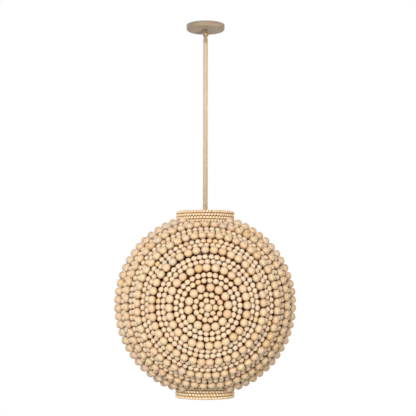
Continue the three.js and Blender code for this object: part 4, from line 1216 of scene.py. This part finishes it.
for side in ("left", "right"):
    node = "box_screw_" + side
    s_low, s_high = low(node)[2], high(node)[2]
    points, faces = turned([
        (0, s_low), (0.6 * SCREW_HEAD_R, s_low), (SCREW_HEAD_R, s_low + SCREW_HEAD / 2),
        (SCREW_HEAD_R, s_low + SCREW_HEAD), *thread(SCREW_R, s_low + SCREW_HEAD, s_high), (0, s_high),
    ], edge=THREAD_EDGE, columns=32, closed=False)
    middle = (low(node) + high(node)) / 2 * (1, 1, 0)
    make_piece(
        "smooth_" + node, "ceiling_fitting", ZINC,
        [(points + middle, faces)], [node], smooth_below=THREAD_SMOOTH_BELOW,
    )
n_low, n_high = low("threaded_nipple")[2], high("threaded_nipple")[2]
nipple_profile = [(NIPPLE_BORE_R, n_low), *thread(NIPPLE_R, n_low, n_high), (NIPPLE_BORE_R, n_high)]
make_piece(
    "smooth_nipple", "ceiling_fitting", BRASS,
    [turned(nipple_profile, edge=THREAD_EDGE, columns=48)], ["threaded_nipple"],
    smooth_below=THREAD_SMOOTH_BELOW,
)

# %% [markdown]
# Materials on the frame's own parts
#
# Parts whose facets don't show keep their construction mesh and only take a finish.

# %% Paint the parts that stay
KEPT = {
    "mounting_crossbar": ZINC, "nipple_lock_nut": BRASS, "top_spider": IRON, "spider_lock_nut": BRASS,
}
for node, material in KEPT.items():
    slots = frame["nodes"][node].data.materials
    slots.clear()
    slots.append(material)
print("kept as they are, with a finish:", list(KEPT))

# %% [markdown]
# Light and stage
#
# The photograph is a studio one: wide soft lamps in front, a white background and hardly any shadow. Three
# weaker lamps light the sides and the back, and a narrow one lifts the canopy's underside a little.
# The background is white only to the camera, in reflections and through glass, and adds no light itself.
# What the world does add is weak and warm, as light is that has bounced about between the beads.

# %% Lamps
scene = bpy.context.scene
scene.view_settings.view_transform = "Standard"


def area_lamp(name, offset, size, strength, aim=globe, spread=180):
    """A square lamp that faces its aim. Its power grows with the square of its distance, so that strength 1
    lights a white surface that faces it to full white. A small spread keeps its light off everything else."""
    lamp = bpy.data.objects.new(name, bpy.data.lights.new(name, "AREA"))
    lamp.data.shape = "SQUARE"
    lamp.data.size = size
    lamp.data.energy = strength * math.pi**2 * Vector(offset).length ** 2
    lamp.data.spread = math.radians(spread)
    lamp.location = Vector(aim) + Vector(offset)
    lamp.rotation_euler = (-Vector(offset)).to_track_quat("-Z", "Y").to_euler()
    scene.collection.objects.link(lamp)
    print(name, "lamp:", round(lamp.data.energy, 1), "W")


area_lamp("key", (-1.1, -3.4, 1.0), size=1.6, strength=0.89)
area_lamp("fill", (1.9, -3.0, 0.2), size=2.6, strength=0.3)
area_lamp("canopy", (0.9, -1.3, -1.5), size=0.4, strength=0.005, aim=(0, 0, canopy_low), spread=14)
area_lamp("back", (0.3, 3.6, 1.0), size=2.6, strength=0.5)
area_lamp("left_back", (-2.9, 2.1, 0.8), size=2.0, strength=0.42)
area_lamp("right_back", (2.9, 2.1, 0.8), size=2.0, strength=0.42)


# %% World
def shown_white(tree, lighting, strength):
    """Plain white for rays from the camera, from gloss and through glass, and the lighting for the rest."""
    path = add_node(tree, "ShaderNodeLightPath").outputs
    seen = math_node(tree, "MAXIMUM", path["Is Camera Ray"], path["Is Glossy Ray"])
    seen = math_node(tree, "MAXIMUM", seen, path["Is Transmission Ray"])
    white = add_node(tree, "ShaderNodeBackground", {"Color": (1, 1, 1, 1), "Strength": 1.0})
    light = add_node(tree, "ShaderNodeBackground", {"Color": lighting, "Strength": strength})
    mix = add_node(tree, "ShaderNodeMixShader", {0: seen, 1: light.outputs[0], 2: white.outputs[0]})
    return mix.outputs[0]


WARM, WARM_STRENGTH = (1, 0.78, 0.52, 1), 0.12
world = bpy.data.worlds.new("studio")
world.use_nodes = True
scene.world = world
world_out = world.node_tree.nodes["World Output"]
world.node_tree.links.new(shown_white(world.node_tree, WARM, WARM_STRENGTH), world_out.inputs["Surface"])
print("world:", len(world.node_tree.nodes), "nodes")

# %% Floor
FLOOR_DROP = 0.9
FLOOR_R, FLOOR_SIDES = 2.6, 96
FLOOR_COLOUR, FLOOR_ROUGHNESS = (0.5, 0.5, 0.49, 1), 0.9
floor_material = bpy.data.materials.new("pale_floor")
floor_material.use_nodes = True
floor_shader = floor_material.node_tree.nodes["Principled BSDF"]
floor_shader.inputs["Base Color"].default_value = FLOOR_COLOUR
floor_shader.inputs["Roughness"].default_value = FLOOR_ROUGHNESS
floor_mesh = bpy.data.meshes.new("floor")
floor_z = cad_box[0][2] - FLOOR_DROP
floor_points = [(x, y, floor_z) for x, y in circle(FLOOR_R, FLOOR_SIDES).tolist()]
floor_mesh.from_pydata(floor_points, [], [list(range(FLOOR_SIDES))])
floor_mesh.materials.append(floor_material)
floor = bpy.data.objects.new("floor", floor_mesh)
scene.collection.objects.link(floor)
print("floor at", round(floor_z, 3), "m")
